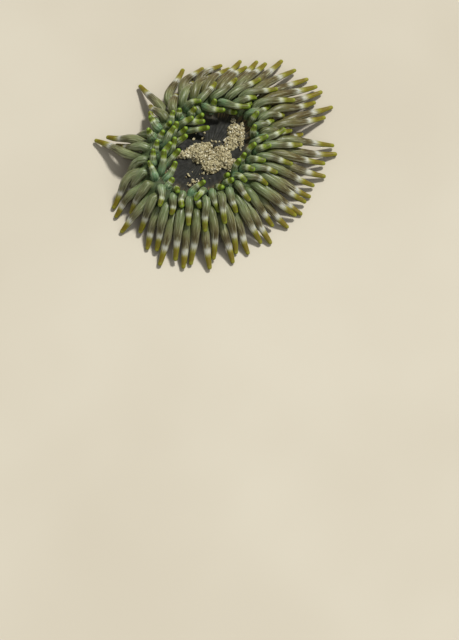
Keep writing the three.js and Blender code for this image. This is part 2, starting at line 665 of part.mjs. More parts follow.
// Takes out edges shorter than SHORTEST by drawing one end to the other, wherever that
// keeps the body closed and turns no face over.
function withoutShortEdges(shape) {
  const mesh = shape.getMesh();
  const points = [];
  for (let at = 0; at < mesh.vertProperties.length; at += 3) {
    points.push(new THREE.Vector3(...mesh.vertProperties.slice(at, at + 3)));
  }
  const faces = [];
  const facesAt = points.map(() => new Set());
  for (let at = 0; at < mesh.triVerts.length; at += 3) {
    const face = [...mesh.triVerts.slice(at, at + 3)];
    face.forEach((vertex) => facesAt[vertex].add(faces.length));
    faces.push(face);
  }
  const around = (vertex) => new Set([...facesAt[vertex]].flatMap((at) => faces[at]));
  for (let sweep = 0; sweep < SWEEPS; sweep += 1) {
    const edges = [];
    faces.forEach((face) => face?.forEach((from, corner) => {
      const to = face[(corner + 1) % 3];
      const length = points[from].distanceTo(points[to]);
      if (from < to && length < SHORTEST) {
        edges.push({ from, to, length });
      }
    }));
    edges.sort((one, other) => one.length - other.length || one.from - other.from || one.to - other.to);
    for (const { from, to } of edges) {
      const ways = [[from, to], [to, from]].map(([gone, kept]) => ({ gone, kept, worth: worthOf(gone, kept) }));
      const best = ways[0].worth >= ways[1].worth ? ways[0] : ways[1];
      if (best.worth > LEAST_WORTH) {
        drawTo(best.gone, best.kept);
      }
    }
  }

  // How little the faces round a corner turn when it is drawn to another, or -1 if it can't be.
  function worthOf(gone, kept) {
    const shared = [...facesAt[gone]].filter((at) => faces[at].includes(kept));
    if (shared.length !== 2) {
      return -1;
    }
    const near = around(kept);
    const common = [...around(gone)].filter((vertex) => near.has(vertex) && vertex !== gone && vertex !== kept);
    if (common.length !== 2) {
      return -1;
    }
    let worth = 1;
    for (const at of facesAt[gone]) {
      if (!faces[at].includes(kept)) {
        const before = crossOf(faces[at]);
        const after = crossOf(faces[at].map((vertex) => (vertex === gone ? kept : vertex)));
        if (after.length() < LEAST_AREA) {
          return -1;
        }
        if (before.length() > LEAST_AREA) {
          worth = Math.min(worth, before.normalize().dot(after.normalize()));
        }
      }
    }
    return worth;
  }

  function crossOf(face) {
    const [a, b, c] = face.map((vertex) => points[vertex]);
    return new THREE.Vector3().subVectors(b, a).cross(new THREE.Vector3().subVectors(c, a));
  }

  function drawTo(gone, kept) {
    for (const at of [...facesAt[gone]]) {
      if (faces[at].includes(kept)) {
        faces[at].forEach((vertex) => facesAt[vertex].delete(at));
        faces[at] = null;
      } else {
        faces[at] = faces[at].map((vertex) => (vertex === gone ? kept : vertex));
        facesAt[kept].add(at);
      }
    }
    facesAt[gone].clear();
  }

  const left = faces.filter((face) => face !== null).flat();
  const used = [...new Set(left)];
  const renumber = new Map(used.map((vertex, at) => [vertex, at]));
  return solid(used.map((vertex) => points[vertex]), left.map((vertex) => renumber.get(vertex)));
}

// ---- materials, one for each kind of flesh
const look = (color, roughness) => new THREE.MeshStandardMaterial({ color, roughness, metalness: 0 });
const PEDAL_LOOK = look('#8a8468', 0.6);
const COLUMN_LOOK = look('#767a5e', 0.6);
const COLLAR_LOOK = look('#6b775f', 0.55);
const DISC_LOOK = look('#2d302d', 0.5);
const MOUTH_LOOK = look('#4a4a40', 0.45);
const SAND_LOOK = look('#c3b38d', 0.9);
const TENTACLE_LOOK = look('#6f7d5c', 0.5);

// One named mesh from a solid.
function part(name, shape, material) {
  const mesh = shape.getMesh();
  const geometry = new THREE.BufferGeometry();
  geometry.setAttribute('position', new THREE.BufferAttribute(new Float32Array(mesh.vertProperties), 3));
  geometry.setIndex(new THREE.BufferAttribute(new Uint32Array(mesh.triVerts), 1));
  const piece = new THREE.Mesh(geometry, material);
  piece.name = name;
  return piece;
}

// The rim in its pieces, each joined to the tentacles that grow from it, and the sand
// that lies between them.
function crown() {
  const tentacles = settle(tentaclePlan());
  const half = CUT_BEARING / 2;
  const places = PIECES.map(([name, from], at) => {
    const next = PIECES[(at + 1) % PIECES.length][1];
    const to = next > from ? next : next + 360;
    const own = tentacles.filter((tentacle) => {
      const bearing = tentacle.bearing < from ? tentacle.bearing + 360 : tentacle.bearing;
      return bearing >= from && bearing < to;
    });
    return {
      name: `tentacles_${name}`,
      rim: rimPiece(from + half, to - half),
      keepOff: rimPiece(from - half, to + half, CUT),
      tubes: own.map((tentacle) => tentacleTube(tentacle)),
      fat: own.map((tentacle) => tentacleTube(tentacle, CUT)),
    };
  });
  const below = oralDisc(CUT);
  const sand = sandHeap(places.flatMap((place) => [place.keepOff, ...place.fat]));
  const pieces = places.map((place, at) => {
    let piece = place.rim;
    for (const tube of place.tubes) {
      let cut = tube.subtract(below);
      places.forEach((other, otherAt) => {
        if (other !== place) {
          cut = cut.subtract(other.keepOff);
        }
        if (otherAt < at) {
          for (const fat of other.fat) {
            cut = cut.subtract(fat);
          }
        }
      });
      piece = piece.add(largestBody(cut));
    }
    return part(place.name, withoutShortEdges(largestBody(piece)), TENTACLE_LOOK);
  });
  return [part('sand_heap', sand, SAND_LOOK), ...pieces];
}

const group = new THREE.Group();
group.add(part('pedal_disc', pedalDisc(), PEDAL_LOOK));
group.add(part('column', column(), COLUMN_LOOK));
group.add(part('collar', collar(), COLLAR_LOOK));
group.add(part('oral_disc', oralDisc(), DISC_LOOK));
group.add(part('mouth', mouth(), MOUTH_LOOK));
group.add(...crown());

export default group;
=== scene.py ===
"""A sea anemone, open and spread on the floor, with a heap of shell sand on its oral disc.

The flesh is one closed skin: a squat oval body and five rows of tentacles, joined solid
and eased where they meet. Shapes are worked out in millimetres, +Z up, and made in metres.
"""

import json
import math

import bpy
import numpy as np
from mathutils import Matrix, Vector

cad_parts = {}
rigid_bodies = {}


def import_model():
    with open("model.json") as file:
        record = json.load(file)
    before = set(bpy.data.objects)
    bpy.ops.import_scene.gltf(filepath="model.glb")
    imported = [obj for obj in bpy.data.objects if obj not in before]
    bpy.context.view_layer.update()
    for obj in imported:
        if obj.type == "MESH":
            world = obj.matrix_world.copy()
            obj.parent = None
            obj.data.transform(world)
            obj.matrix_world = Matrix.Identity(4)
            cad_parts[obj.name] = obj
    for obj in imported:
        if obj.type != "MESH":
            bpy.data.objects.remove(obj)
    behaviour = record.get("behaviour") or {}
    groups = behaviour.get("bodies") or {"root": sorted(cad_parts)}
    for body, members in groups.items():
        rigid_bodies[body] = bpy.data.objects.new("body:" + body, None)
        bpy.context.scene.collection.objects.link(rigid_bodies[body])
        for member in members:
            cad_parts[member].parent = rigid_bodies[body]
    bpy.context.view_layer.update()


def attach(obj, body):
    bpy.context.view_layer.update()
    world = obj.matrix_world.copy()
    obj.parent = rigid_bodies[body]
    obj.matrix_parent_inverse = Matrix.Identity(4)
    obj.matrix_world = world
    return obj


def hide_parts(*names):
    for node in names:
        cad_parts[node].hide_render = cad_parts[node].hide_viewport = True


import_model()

MM = 0.001
FAR = 99.0
FLESH = [
    "pedal_disc", "column", "collar", "oral_disc", "mouth",
    "tentacles_back_right", "tentacles_back", "tentacles_back_left",
    "tentacles_left_back", "tentacles_left", "tentacles_front_left",
    "tentacles_front", "tentacles_front_right", "tentacles_right",
]

# ---- camera, in metres
CAMERA_AT = (0.0, -0.2665, 0.4695915)
CAMERA_AIM = (0.00517543, -0.05162217, 0.0)
CAMERA_LENS = 100.0

# ---- the oval body, half lengths along and across its long way, and levels
OVAL_TURN = 50.0
MARGIN_LONG, MARGIN_SHORT = 23.5, 18.8
DISC_LONG, DISC_SHORT = 15.5, 10.6
RIM_LEVEL, RIM_HEIGHT = 6.0, 3.5
DISC_EDGE = 7.4

# The body's outline from the middle of its foot up over the rim and down to the throat:
# half length along, half length across, level, and zone (0 foot, 0.5 margin, 1 throat).
OUTLINE_BELOW = [
    (0.0, 0.0, 0.0, 0.00), (17.2, 12.8, 0.0, 0.06), (18.3, 13.9, 0.5, 0.10),
    (17.7, 13.3, 1.2, 0.14), (16.5, 12.1, 2.6, 0.22), (16.9, 12.5, 3.7, 0.30),
    (18.6, 14.4, 4.4, 0.36), (20.2, 16.0, 4.9, 0.42), (22.6, 17.9, 5.2, 0.48),
]
RIM_FROM, RIM_TO, RIM_STOPS = 0.0, 157.0, 12
RIM_ZONES = (0.52, 0.76)
OUTLINE_WITHIN = [
    (14.6, 10.0, 7.3, 0.79), (11.1, 7.8, 7.0, 0.86), (4.9, 3.3, 6.85, 0.93),
    (4.3, 2.7, 7.0, 0.94), (3.6, 1.9, 7.38, 0.955), (3.0, 0.9, 7.15, 0.97),
    (2.7, 0.5, 6.2, 1.00), (0.0, 0.0, 6.1, 1.00),
]
OUTLINE_POINTS, BODY_SIDES = 84, 288
# the outline's steps are wide under the foot
FOOT_ZONE, FOOT_STEPS = 0.05, 0.35

# ---- how the tentacles lie: root bearing, turn from it to the tip, tip's distance from
# the middle and tip's height. Between these the values run smoothly round.
INNER_TIPS = [
    (5, 5, 19, 11), (30, 2, 20, 10.5), (55, -10, 19.5, 10), (75, -15, 15.5, 10),
    (92, -12, 11.5, 10.5), (108, -14, 9, 11), (125, -8, 9, 12), (145, -2, 8.5, 12.5),
    (165, 0, 9, 12), (190, 3, 10, 11.5), (210, 8, 13.5, 10.5), (225, 10, 17, 10),
    (245, 8, 18, 10), (262, 8, 13, 10.5), (280, 8, 12.5, 11), (300, 4, 13, 12),
    (320, 12, 12.5, 12.5), (340, 3, 14, 12),
]
MIDDLE_TIPS = [
    (0, 4, 28.5, 7), (25, 0, 28, 7), (45, -8, 31.5, 7), (62, -12, 31, 7),
    (78, -16, 28.5, 7.5), (95, -14, 25.5, 8), (112, -15, 22.5, 9), (130, -15, 21.5, 10),
    (150, -4, 17.5, 13), (172, 0, 17, 13.5), (188, 4, 19.5, 12.5), (203, 8, 24, 9),
    (222, 4, 24, 8.5), (242, 2, 25.5, 8), (258, 3, 27, 7), (272, 0, 27.5, 6.5),
    (286, 0, 23.5, 7.5), (300, 0, 22, 8), (315, 3, 22.5, 8), (332, 2, 22, 8.5),
    (348, 3, 25, 8),
]
OUTER_TIPS = [
    (0, 0, 37.2, 0.8), (20, 1, 40.5, 0.8), (40, -4, 43, 1), (60, -6, 42, 1.5),
    (74, -8, 37.8, 2), (92, -12, 36.2, 1.5), (110, -16, 34.3, 1), (122, -19, 33, 2),
    (132, -14, 25, 6), (146, 0, 21.5, 8), (160, 0, 20.5, 9), (176, 6, 21.5, 8),
    (187, 13, 31, 1), (200, 9, 31.3, 0.8), (216, 5, 33.5, 0.8), (232, 5, 34.5, 0.8),
    (250, 3, 36.3, 0.8), (270, 1, 34.2, 0.8), (290, 1, 33.3, 0.8), (305, 2, 31.2, 0.8),
    (318, 5, 33.3, 0.8), (332, 1, 32.6, 0.8), (346, 0, 34, 0.8),
]

# ---- the rows, from the mouth outwards: count, first bearing, place on the rim's section,
# shares of the three tables, thickness, its share at the tip, how much flatter than wide,
# share of the reach, lift, and how far it has the colours of the inner rows
ROWS = [
    (22, 4, 150, (1, 0, 0), 1.15, 0.62, 0.0, 1.0, 0.0, 1.0),
    (22, 12, 128, (0.5, 0.5, 0), 1.2, 0.6, 0.0, 1.0, 0.5, 0.8),
    (26, 2, 98, (0, 1, 0), 1.25, 0.52, 0.12, 1.0, 0.0, 0.4),
    (30, 8, 60, (0, 0, 1), 1.42, 0.44, 0.22, 0.93, 1.0, 0.1),
    (30, 2, 22, (0, 0, 1), 1.42, 0.44, 0.22, 1.0, 0.0, 0.0),
]
INNER_ROWS = 2

# the few that stray, row by row: place in it, tip's bearing, distance, height
STRAYS = {
    0: [
        (1, 25, 15.9, 12), (5, 80, 17, 10.5), (6, 98, 16.5, 10.5), (7, 95, 11, 12),
        (8, 85, 7, 10.5), (9, 132, 9, 12.5), (10, 147, 7, 12), (11, 162, 10.8, 13),
        (12, 187, 8.4, 12), (13, 205, 10.5, 11), (14, 242, 19.4, 10.5), (15, 266, 11.4, 11),
        (16, 255, 20.5, 10.5), (17, 290, 15.3, 10.5), (18, 299, 12.3, 12), (19, 334, 10.8, 12.5),
        (20, 344, 11.5, 12.5), (21, 0, 15.6, 12),
    ],
    1: [
        (4, 43, 19.5, 10.5), (5, 62, 14.2, 11.5), (7, 91, 8.7, 11.5), (8, 113, 10, 13),
        (9, 137, 11.9, 13.5), (10, 148, 11.2, 14), (11, 177, 10.8, 13.5), (12, 189, 13.1, 13.5),
        (13, 224, 14.3, 11), (14, 250, 21.8, 10), (16, 274, 22, 9), (17, 301, 14, 12.5),
        (21, 359, 18.7, 12),
    ],
    2: [
        (8, 91, 16.2, 11), (9, 122, 15.5, 12), (10, 129, 15.7, 12.5), (11, 145, 12.8, 13.5),
        (12, 159, 13.9, 13), (13, 173, 15, 13), (14, 184, 16.3, 13), (15, 194, 18, 12),
        (16, 235, 24.3, 9.5),
    ],
    3: [
        (11, 131, 26, 5), (12, 149, 20.5, 12.5), (13, 162, 18.7, 13), (14, 167.5, 28.5, 2.6),
    ],
    4: [
        (1, 17.5, 30, 2), (11, 126.5, 34.4, 1.4), (12, 140, 22.5, 9), (13, 160, 24.5, 2.5),
        (14, 164, 31.8, 3.2), (15, 165.5, 35.2, 1.2),
    ],
}

# ---- how a tentacle runs: depth of its root, arch out of the rim, chance in its tip's place,
# sideways bow, and how inner tips nod
STATIONS = 12
ROOT_SINK, ARCH = 1.2, 0.36
SWAY, LENGTH_CHANCE, HEIGHT_CHANCE, LEAST_HEIGHT = 5.0, 0.18, 1.0, 0.9
BOW, STEEP_LEAN = 0.16, 0.7
NOD = (0.75, 0.35)
# tips that stand this high have the colours of the inner rows
FRESH_HEIGHTS = (7.0, 11.0)

# girth at the root, where it is full, where it narrows and by what power; where the section
# flattens; fullness all along and at the belly
ROOT_SHARE, FULL_AT, NARROWS_AT, TAPER_POWER = 0.84, 0.35, 0.3, 1.4
FLATTENS = (0.2, 0.7)
FULLNESS, BELLY, BELLY_END = 0.96, 0.05, 0.6

# relief as shares of the girth: furrows with their number round a tentacle, twist and seed,
# swellings with their pace, and the spread of the root
FURROWS = [(0.022, 5, 0.10, 0.11), (0.014, 8, -0.07, 0.23)]
SWELLINGS = [(0.030, 0.9), (0.018, 2.1)]
SWELLING_START = 3.0
ROOT_SPREAD, ROOT_FADE = 0.16, 0.8

STANDING_LOOKS_UP = 0.7
RINGS, SIDES, DOME_RINGS, CURVE_POINTS = 30, 18, 6, 14

# ---- settling of the tentacles
ROUNDS, LOOK_EVERY = 72, 6
ROOM, FLOOR_ROOM, BODY_ROOM, NEAR = 0.32, 0.25, 0.9, 1.5
PUSH, STIFFNESS, HOMING = 0.3, 0.3, 0.02
ROOT_HELD, ROOT_FREE, FREE_ENOUGH = 0.6, 3.6, 0.4

# ---- relief on the body, and the zones where it shows
COLUMN_FROM, COLUMN_TO = (0.10, 0.15), (0.50, 0.45)
DISC_FROM, DISC_TO = (0.77, 0.80), (0.945, 0.925)
WART_SIZE, WARTS_ROUND, WART_PITCH, WART_ZONES = 0.28, 36, 150, (0.2, 0.3)
WRINKLE, WRINKLES_ROUND, WRINKLE_PITCH = 0.10, 24, 210
LIP_SIZE, LIP_RIBS, LIP_ZONE, LIP_HALF = 0.16, 22, 0.952, 0.016
RAYS = [(0.030, 48, 0), (0.022, 24, 1)]
DISC_WAVE, DISC_WAVE_PITCH = 0.04, 120

# ---- easing where the flesh of two parts meets
EASE_REACH, EASE_POWER, EASE_STEP = 0.7, 1.2, 0.6
EASE_LOOKS, EASE_ROUNDS = 8, 14
DRAWN_IN = 0.9965

# ---- the heap of sand on the disc, mound by mound: middle, half widths, turn, rise
MOUNDS = [
    (-1.6, -0.6, 3.9, 3.0, 15, 1.9), (4.0, -1.2, 3.6, 3.7, -20, 1.9),
    (1.0, -4.6, 3.0, 2.2, 10, 1.5), (7.2, -4.4, 2.4, 1.9, 30, 1.5),
    (-7.4, -0.5, 2.7, 1.2, 0, 1.2), (6.9, 3.0, 2.1, 2.8, -10, 1.4),
    (8.0, 7.0, 2.2, 2.9, -10, 1.3), (10.2, 5.6, 0.8, 5.0, -4, 1.2),
]
# its packed bed: share of the mounds' widths, what it lacks of their rise, how deep it lies
# under the grains, and its foot
MOUND_SHARE, MOUND_DROP, BED_SINK, BED_FOOT = 0.86, 0.35, 0.25, 0.9
MOUND_RINGS, MOUND_SIDES, BED_LUMPS = 14, 40, (0.10, 0.08)
# loose grains in and round the heap: middle, half widths, turn, grains
SCATTERS = [
    (-4.4, -10.5, 2.2, 1.6, 20, 34), (-11.2, -5.4, 1.4, 0.9, 0, 14),
    (7.8, 10.6, 0.8, 1.3, 0, 16), (-1.5, 5.6, 4.0, 3.4, 0, 14),
    (-3.0, -7.6, 5.0, 1.6, 0, 14), (3.0, 3.4, 3.0, 1.6, 0, 16),
    (-2.2, 2.2, 3.6, 1.5, 8, 190), (-5.2, 0.9, 1.6, 1.2, 0, 60),
]
SAND_HOLLOW = (7.8, -0.2, 1.3, 2.0)
GRAINS_ON_A_SQUARE = 9.0
GRAIN_SIZES, SMALL_GRAINS = (0.19, 0.46), 1.8
# a grain's least stretch along each way with what chance adds, and its lumps
GRAIN_STRETCHES, GRAIN_LUMPS = [(0.9, 0.6), (0.75, 0.3), (0.45, 0.5)], 0.3
# height of a grain's middle over the bed and its room off a tentacle, in its own sizes
GRAIN_LIFT, GRAIN_CLEAR = (0.35, 0.75), 0.6
THROAT_LEVEL, DISC_FROM_ZONE = 6.2, 0.66
BED_TONE = 0.3

# ---- light and floor
KEY_FROM, KEY_POWER, KEY_DEGREES = (0.38, 0.38, 0.84), 3.45, 9.0
FILL_AT, FILL_SIZE, FILL_POWER = (0.40, -0.50, 0.70), 0.70, 1.3
KEY_COLOUR, FILL_COLOUR = (1.0, 0.98, 0.93), (0.96, 0.98, 1.0)
WORLD_COLOUR, WORLD_POWER = (1.0, 0.97, 0.90, 1.0), 0.30
FLOOR_HALF = 4.0

# ---- colours along an outer and an inner tentacle, from root to tip
# the dark first stops at the root are partly painted shade, where the roots crowd together
OUTER_BANDS = [
    (0.00, "3C4A22"), (0.12, "56643A"), (0.30, "70794F"), (0.44, "6E6A42"), (0.54, "4E4218"),
    (0.60, "756E50"), (0.665, "B2B3AA"), (0.70, "B5B5AA"), (0.745, "8C8750"), (0.785, "7F7A16"),
    (0.92, "7E7912"), (1.00, "858222"),
]
INNER_BANDS = [
    (0.00, "2A3E22"), (0.16, "466A48"), (0.36, "608460"), (0.50, "6C8056"), (0.58, "66744A"),
    (0.635, "93A080"), (0.68, "B0BA9C"), (0.72, "949F5C"), (0.765, "72861C"), (0.88, "6F8A1C"),
    (1.00, "7A962A"),
]
# ---- colours of the body by zone, from the foot to the throat
BODY_BANDS = [
    (0.00, "8A7D5E"), (0.14, "756F4C"), (0.24, "5E5D3E"), (0.44, "565E3E"), (0.54, "46562F"),
    (0.67, "3C4A28"), (0.745, "43402A"), (0.79, "2C2A1C"), (0.84, "15150F"), (0.90, "13140E"),
    (0.945, "23221A"), (1.00, "10100D"),
]
SAND_TONES = [
    (0.00, "7C7050"), (0.08, "968A66"), (0.30, "A59C78"), (0.60, "B0A784"), (0.85, "C2BA9A"),
    (0.95, "DEDAC6"), (1.00, "D4D0BC"),
]
# stretches of a tentacle by share and of the body by zone: begins, full, fades, gone
SHAFT, SMOKY_AND_SHADED = (0.02, 0.12, 0.72, 0.80), (0.34, 0.54, 0.60, 0.655)
TIP_SPOT = (0.76, 0.82, 0.91, 0.96)
INNER_WALL = (0.70, 0.75, 0.785, 0.815)


def paint(code):
    """A colour from its six-digit hex code, turned to linear light: a channel below 0.04045
    is divided by 12.92, and any other is ((c + 0.055) / 1.055) to the power 2.4."""
    channels = [int(code[at:at + 2], 16) / 255 for at in (0, 2, 4)]
    linear = [c / 12.92 if c < 0.04045 else ((c + 0.055) / 1.055) ** 2.4 for c in channels]
    return (*linear, 1.0)


def shown(name, data):
    """A new object in the scene, at the middle of the floor and unturned."""
    thing = bpy.data.objects.new(name, data)
    bpy.context.scene.collection.objects.link(thing)
    return thing


def aimed(direction):
    """The turn that points a camera or a light in a direction."""
    return Vector(direction).to_track_quat("-Z", "Y").to_euler()


def place_camera():
    data = bpy.data.cameras.new("camera")
    data.lens = CAMERA_LENS
    data.clip_start = 0.01
    data.clip_end = 50
    camera = shown("camera", data)
    camera.location = CAMERA_AT
    camera.rotation_euler = aimed(Vector(CAMERA_AIM) - Vector(CAMERA_AT))
    bpy.context.scene.camera = camera


# ---- plan and curves

def swung(x, y, degrees):
    """Plan coordinates turned about the middle."""
    c, s = np.cos(np.radians(degrees)), np.sin(np.radians(degrees))
    return x * c - y * s, x * s + y * c


def round_turns(sides):
    """Even turns round a ring."""
    return 2 * math.pi * np.arange(sides) / sides


def on_oval(half_x, half_y, angle, degrees):
    """Plan points at turns round an oval that is itself turned about the middle."""
    return swung(half_x * np.cos(angle), half_y * np.sin(angle), degrees)


def unit(vectors):
    """Vectors drawn out or in to a length of one."""
    return vectors / np.linalg.norm(vectors, axis=-1, keepdims=True)


def full(*parts):
    """Parts of every point as one array, each over the shape of them all."""
    return np.stack(np.broadcast_arrays(*parts), -1)


def rising(value, low, high):
    """0 up to one place of a value, 1 from another on, straight between."""
    return np.clip((value - low) / (high - low), 0, 1)


def between(u, start, leaving, end, arriving):
    """A cubic from a start to an end at shares u of the way, with its slopes at both."""
    return (
        (2 * u ** 3 - 3 * u ** 2 + 1) * start + (u ** 3 - 2 * u ** 2 + u) * leaving
        + (3 * u ** 2 - 2 * u ** 3) * end + (u ** 3 - u ** 2) * arriving
    )


def oval_reach(along, long_half, short_half):
    """An oval's reach at a turn t from its long way: L S / hypot(S cos t, L sin t)."""
    across = np.hypot(short_half * np.cos(along), long_half * np.sin(along))
    return long_half * short_half / across


def oval(bearing, long_half, short_half):
    """Plan points on ovals at bearings, and the directions square out of them."""
    along = np.radians(bearing - OVAL_TURN)
    at = swung(oval_reach(along, long_half, short_half), 0, bearing)
    out = swung(np.cos(along) / long_half ** 2, np.sin(along) / short_half ** 2, OVAL_TURN)
    return np.stack(at, -1), unit(np.stack(out, -1))


def rim_section(section):
    """Half length, half width and level of the rim at angles round its section, which is
    half an ellipse from the margin to the disc's edge."""
    angle = np.radians(section)
    share = (1 + np.cos(angle)) / 2
    return (
        DISC_LONG + (MARGIN_LONG - DISC_LONG) * share,
        DISC_SHORT + (MARGIN_SHORT - DISC_SHORT) * share,
        RIM_LEVEL + RIM_HEIGHT * np.sin(angle),
    )


def rim(bearing, section):
    """Points of the rim at bearings and angles, and the directions square out of it."""
    long_half, short_half, height = rim_section(section)
    at, out = oval(bearing, long_half, short_half)
    half = (MARGIN_LONG + MARGIN_SHORT - DISC_LONG - DISC_SHORT) / 4
    angle = np.radians(section)
    out = out * (np.cos(angle) / half)[:, None]
    outward = np.column_stack([out, np.sin(angle) / RIM_HEIGHT])
    return np.column_stack([at, height]), unit(outward)


def round_the_crown(table, bearing):
    """A table's values at bearings: a cubic between two lines, with slopes taken from the
    lines either side, that closes on itself."""
    table = np.array(table, float)
    before, after = table[-3:] - [360, 0, 0, 0], table[:3] + [360, 0, 0, 0]
    lines = np.concatenate([before, table, after])
    places, values = lines[:, :1], lines[:, 1:]
    here = np.searchsorted(lines[:, 0], bearing % 360, side="right") - 1
    span = places[here + 1] - places[here]

    def slope(at):
        return (values[at + 1] - values[at - 1]) / (places[at + 1] - places[at - 1]) * span

    u = ((bearing % 360)[:, None] - places[here]) / span
    return between(u, values[here], slope(here), values[here + 1], slope(here + 1))


def chance(seed):
    """The same run of chance each time: the fraction of 43758.5453 sin(12.9898 seed + 4.1414)."""
    value = np.sin(seed * 12.9898 + 4.1414) * 43758.5453
    return value - np.floor(value)


def smooth_lines(stations, per_span=CURVE_POINTS):
    """Dense points on curves through rows of stations. Each span is a cubic whose end slopes
    come from its neighbours, weighted by the square roots of their distances."""
    before_first = 2 * stations[:, :1] - stations[:, 1:2]
    after_last = 2 * stations[:, -1:] - stations[:, -2:-1]
    points = np.concatenate([before_first, stations, after_last], 1)
    step = np.linalg.norm(np.diff(points, axis=1), axis=2, keepdims=True) ** 0.5
    spans = stations.shape[1] - 1
    a, b, c, d = (points[:, at:at + spans] for at in range(4))
    before, within, after = (step[:, at:at + spans] for at in range(3))

    def slope(a, b, c, first, second):
        return ((b - a) / first - (c - a) / (first + second) + (c - b) / second) * within

    parts = b, slope(a, b, c, before, within), c, slope(b, c, d, within, after)
    u = (np.arange(per_span) / per_span)[None, None, :, None]
    curve = between(u, *(part[:, :, None] for part in parts))
    return np.concatenate([curve.reshape(len(stations), -1, 3), stations[:, -1:]], 1)


def even_points(curves, shares):
    """Points at shares of the length of each curve, and the lengths. The curves lie end to
    end on one scale, two units each, for a single lookup."""
    steps = np.linalg.norm(np.diff(curves, axis=1), axis=2)
    run = np.concatenate([np.zeros((len(curves), 1)), np.cumsum(steps, 1)], 1)
    length = run[:, -1:]
    shift = 2 * np.arange(len(curves))[:, None]
    scale, wanted = (run / length + shift).reshape(-1), (shares + shift).reshape(-1)
    flat = curves.reshape(-1, 3)
    points = np.stack([np.interp(wanted, scale, flat[:, axis]) for axis in range(3)], -1)
    return points.reshape(len(curves), -1, 3), length[:, 0]


# ---- tentacles' middle lines

def girth(share, at_tip):
    """Thickness along a tentacle as a share of its greatest: it swells from the root by a
    quarter of a sine wave and narrows to the tip by a power."""
    swell = ROOT_SHARE + (1 - ROOT_SHARE) * np.sin(rising(share, 0, FULL_AT) * math.pi / 2)
    return swell * (1 - (1 - at_tip) * rising(share, NARROWS_AT, 1) ** TAPER_POWER)


def flattened(share, flat):
    """Height of a tentacle's section as a share of its width."""
    return 1 - flat * rising(share, *FLATTENS)


def half_thickness(plan, share):
    """Half the width of every tentacle at shares of its length."""
    return plan["thick"][:, None] * girth(share, plan["at_tip"][:, None])


def tentacle_plan():
    """Root, outward direction, tip, thickness and row of every tentacle before it settles."""
    counts = [row[0] for row in ROWS]
    columns = (np.repeat(np.array(column), counts, 0) for column in zip(*ROWS))
    count, first, section, mix, thick, at_tip, flat, share, lift, tint = columns
    row = np.repeat(np.arange(len(ROWS)), counts)
    place = np.concatenate([np.arange(count) for count in counts])
    seeds = 1 + np.arange(len(row))
    bearing = (first + 360 * place / count) % 360
    root, outward = rim(bearing, section)
    tables = [round_the_crown(table, bearing) for table in (INNER_TIPS, MIDDLE_TIPS, OUTER_TIPS)]
    turn, reach, height = (mix[:, :, None] * np.stack(tables, 1)).sum(1).T
    near = np.hypot(root[:, 0], root[:, 1])
    tip_bearing = bearing + turn + SWAY * (chance(seeds + 0.37) - 0.5)
    reach = near + (reach * share - near) * (1 + LENGTH_CHANCE * (chance(seeds) - 0.5))
    height = height + lift + HEIGHT_CHANCE * (chance(seeds + 0.71) - 0.5)
    for stray_row, strays in STRAYS.items():
        for place, *stray in strays:
            at = sum(counts[:stray_row]) + place
            tip_bearing[at], reach[at], height[at] = stray
    tint = np.maximum(tint, rising(height, *FRESH_HEIGHTS))
    tip = np.stack([*swung(reach, 0, tip_bearing), np.maximum(height, LEAST_HEIGHT)], 1)
    return dict(
        root=root, outward=outward, tip=tip, row=row,
        thick=thick, at_tip=at_tip, flat=flat, tint=tint,
    )


def middle_lines(plan):
    """Middle line of each tentacle: a cubic curve out of the rim and over towards its tip."""
    run = plan["tip"] - plan["root"]
    reach = np.linalg.norm(run, axis=1, keepdims=True)
    steep = np.clip(run[:, 2:] / reach, 0, 1)
    level = unit(run * [1, 1, 0])
    inner = (plan["row"] < INNER_ROWS)[:, None]
    arrival = np.where(inner, level * NOD[0], level * (1 - STEEP_LEAN * steep))
    arrival[:, 2:] = np.where(inner, NOD[1], steep)
    arrival = unit(arrival)
    start = plan["root"] - ROOT_SINK * plan["outward"]
    seeds = np.arange(1, len(reach) + 1)[:, None]
    sideways = BOW * reach * np.stack([-level[:, 1], level[:, 0], 0 * level[:, 0]], 1)
    first = plan["root"] + ARCH * reach * plan["outward"]
    first = first + sideways * (chance(seeds + 0.19) - 0.5)
    second = plan["tip"] - ARCH * reach * arrival
    second = second + sideways * (chance(seeds + 0.83) - 0.5)
    u = np.linspace(0, 1, STATIONS)[None, :, None]
    return (
        (1 - u) ** 3 * start[:, None] + 3 * (1 - u) ** 2 * u * first[:, None]
        + 3 * (1 - u) * u ** 2 * second[:, None] + u ** 3 * plan["tip"][:, None]
    )


def body_top(x, y):
    """Height of the body's top at plan points, or far below outside the margin."""
    along = np.arctan2(y, x) - math.radians(OVAL_TURN)
    margin = oval_reach(along, MARGIN_LONG, MARGIN_SHORT)
    disc = oval_reach(along, DISC_LONG, DISC_SHORT)
    reach = np.hypot(x, y)
    across = np.clip((reach - (margin + disc) / 2) / ((margin - disc) / 2), -1, 1)
    height = RIM_LEVEL + RIM_HEIGHT * np.sqrt(1 - across ** 2)
    return np.where(reach > margin, -FAR, np.maximum(height, DISC_EDGE))


def pushed_apart(lines, radius, pairs):
    """How far each station moves off those that it is too close to, shared with the stations
    either side."""
    one, other = pairs
    flat = lines.reshape(-1, 3)
    gap = flat[one] - flat[other]
    distance = np.linalg.norm(gap, axis=1) + 1e-9
    short = np.clip(radius[one] + radius[other] + ROOM - distance, 0, None)
    step = gap * (short / distance * PUSH)[:, None]
    push = np.zeros_like(flat)
    np.add.at(push, one, step)
    np.add.at(push, other, -step)
    push = push.reshape(lines.shape)
    spread = push.copy()
    spread[:, 1:-1] = 0.5 * push[:, 1:-1] + 0.25 * (push[:, :-2] + push[:, 2:])
    spread[:, -1] = 0.6 * push[:, -1] + 0.4 * push[:, -2]
    return spread


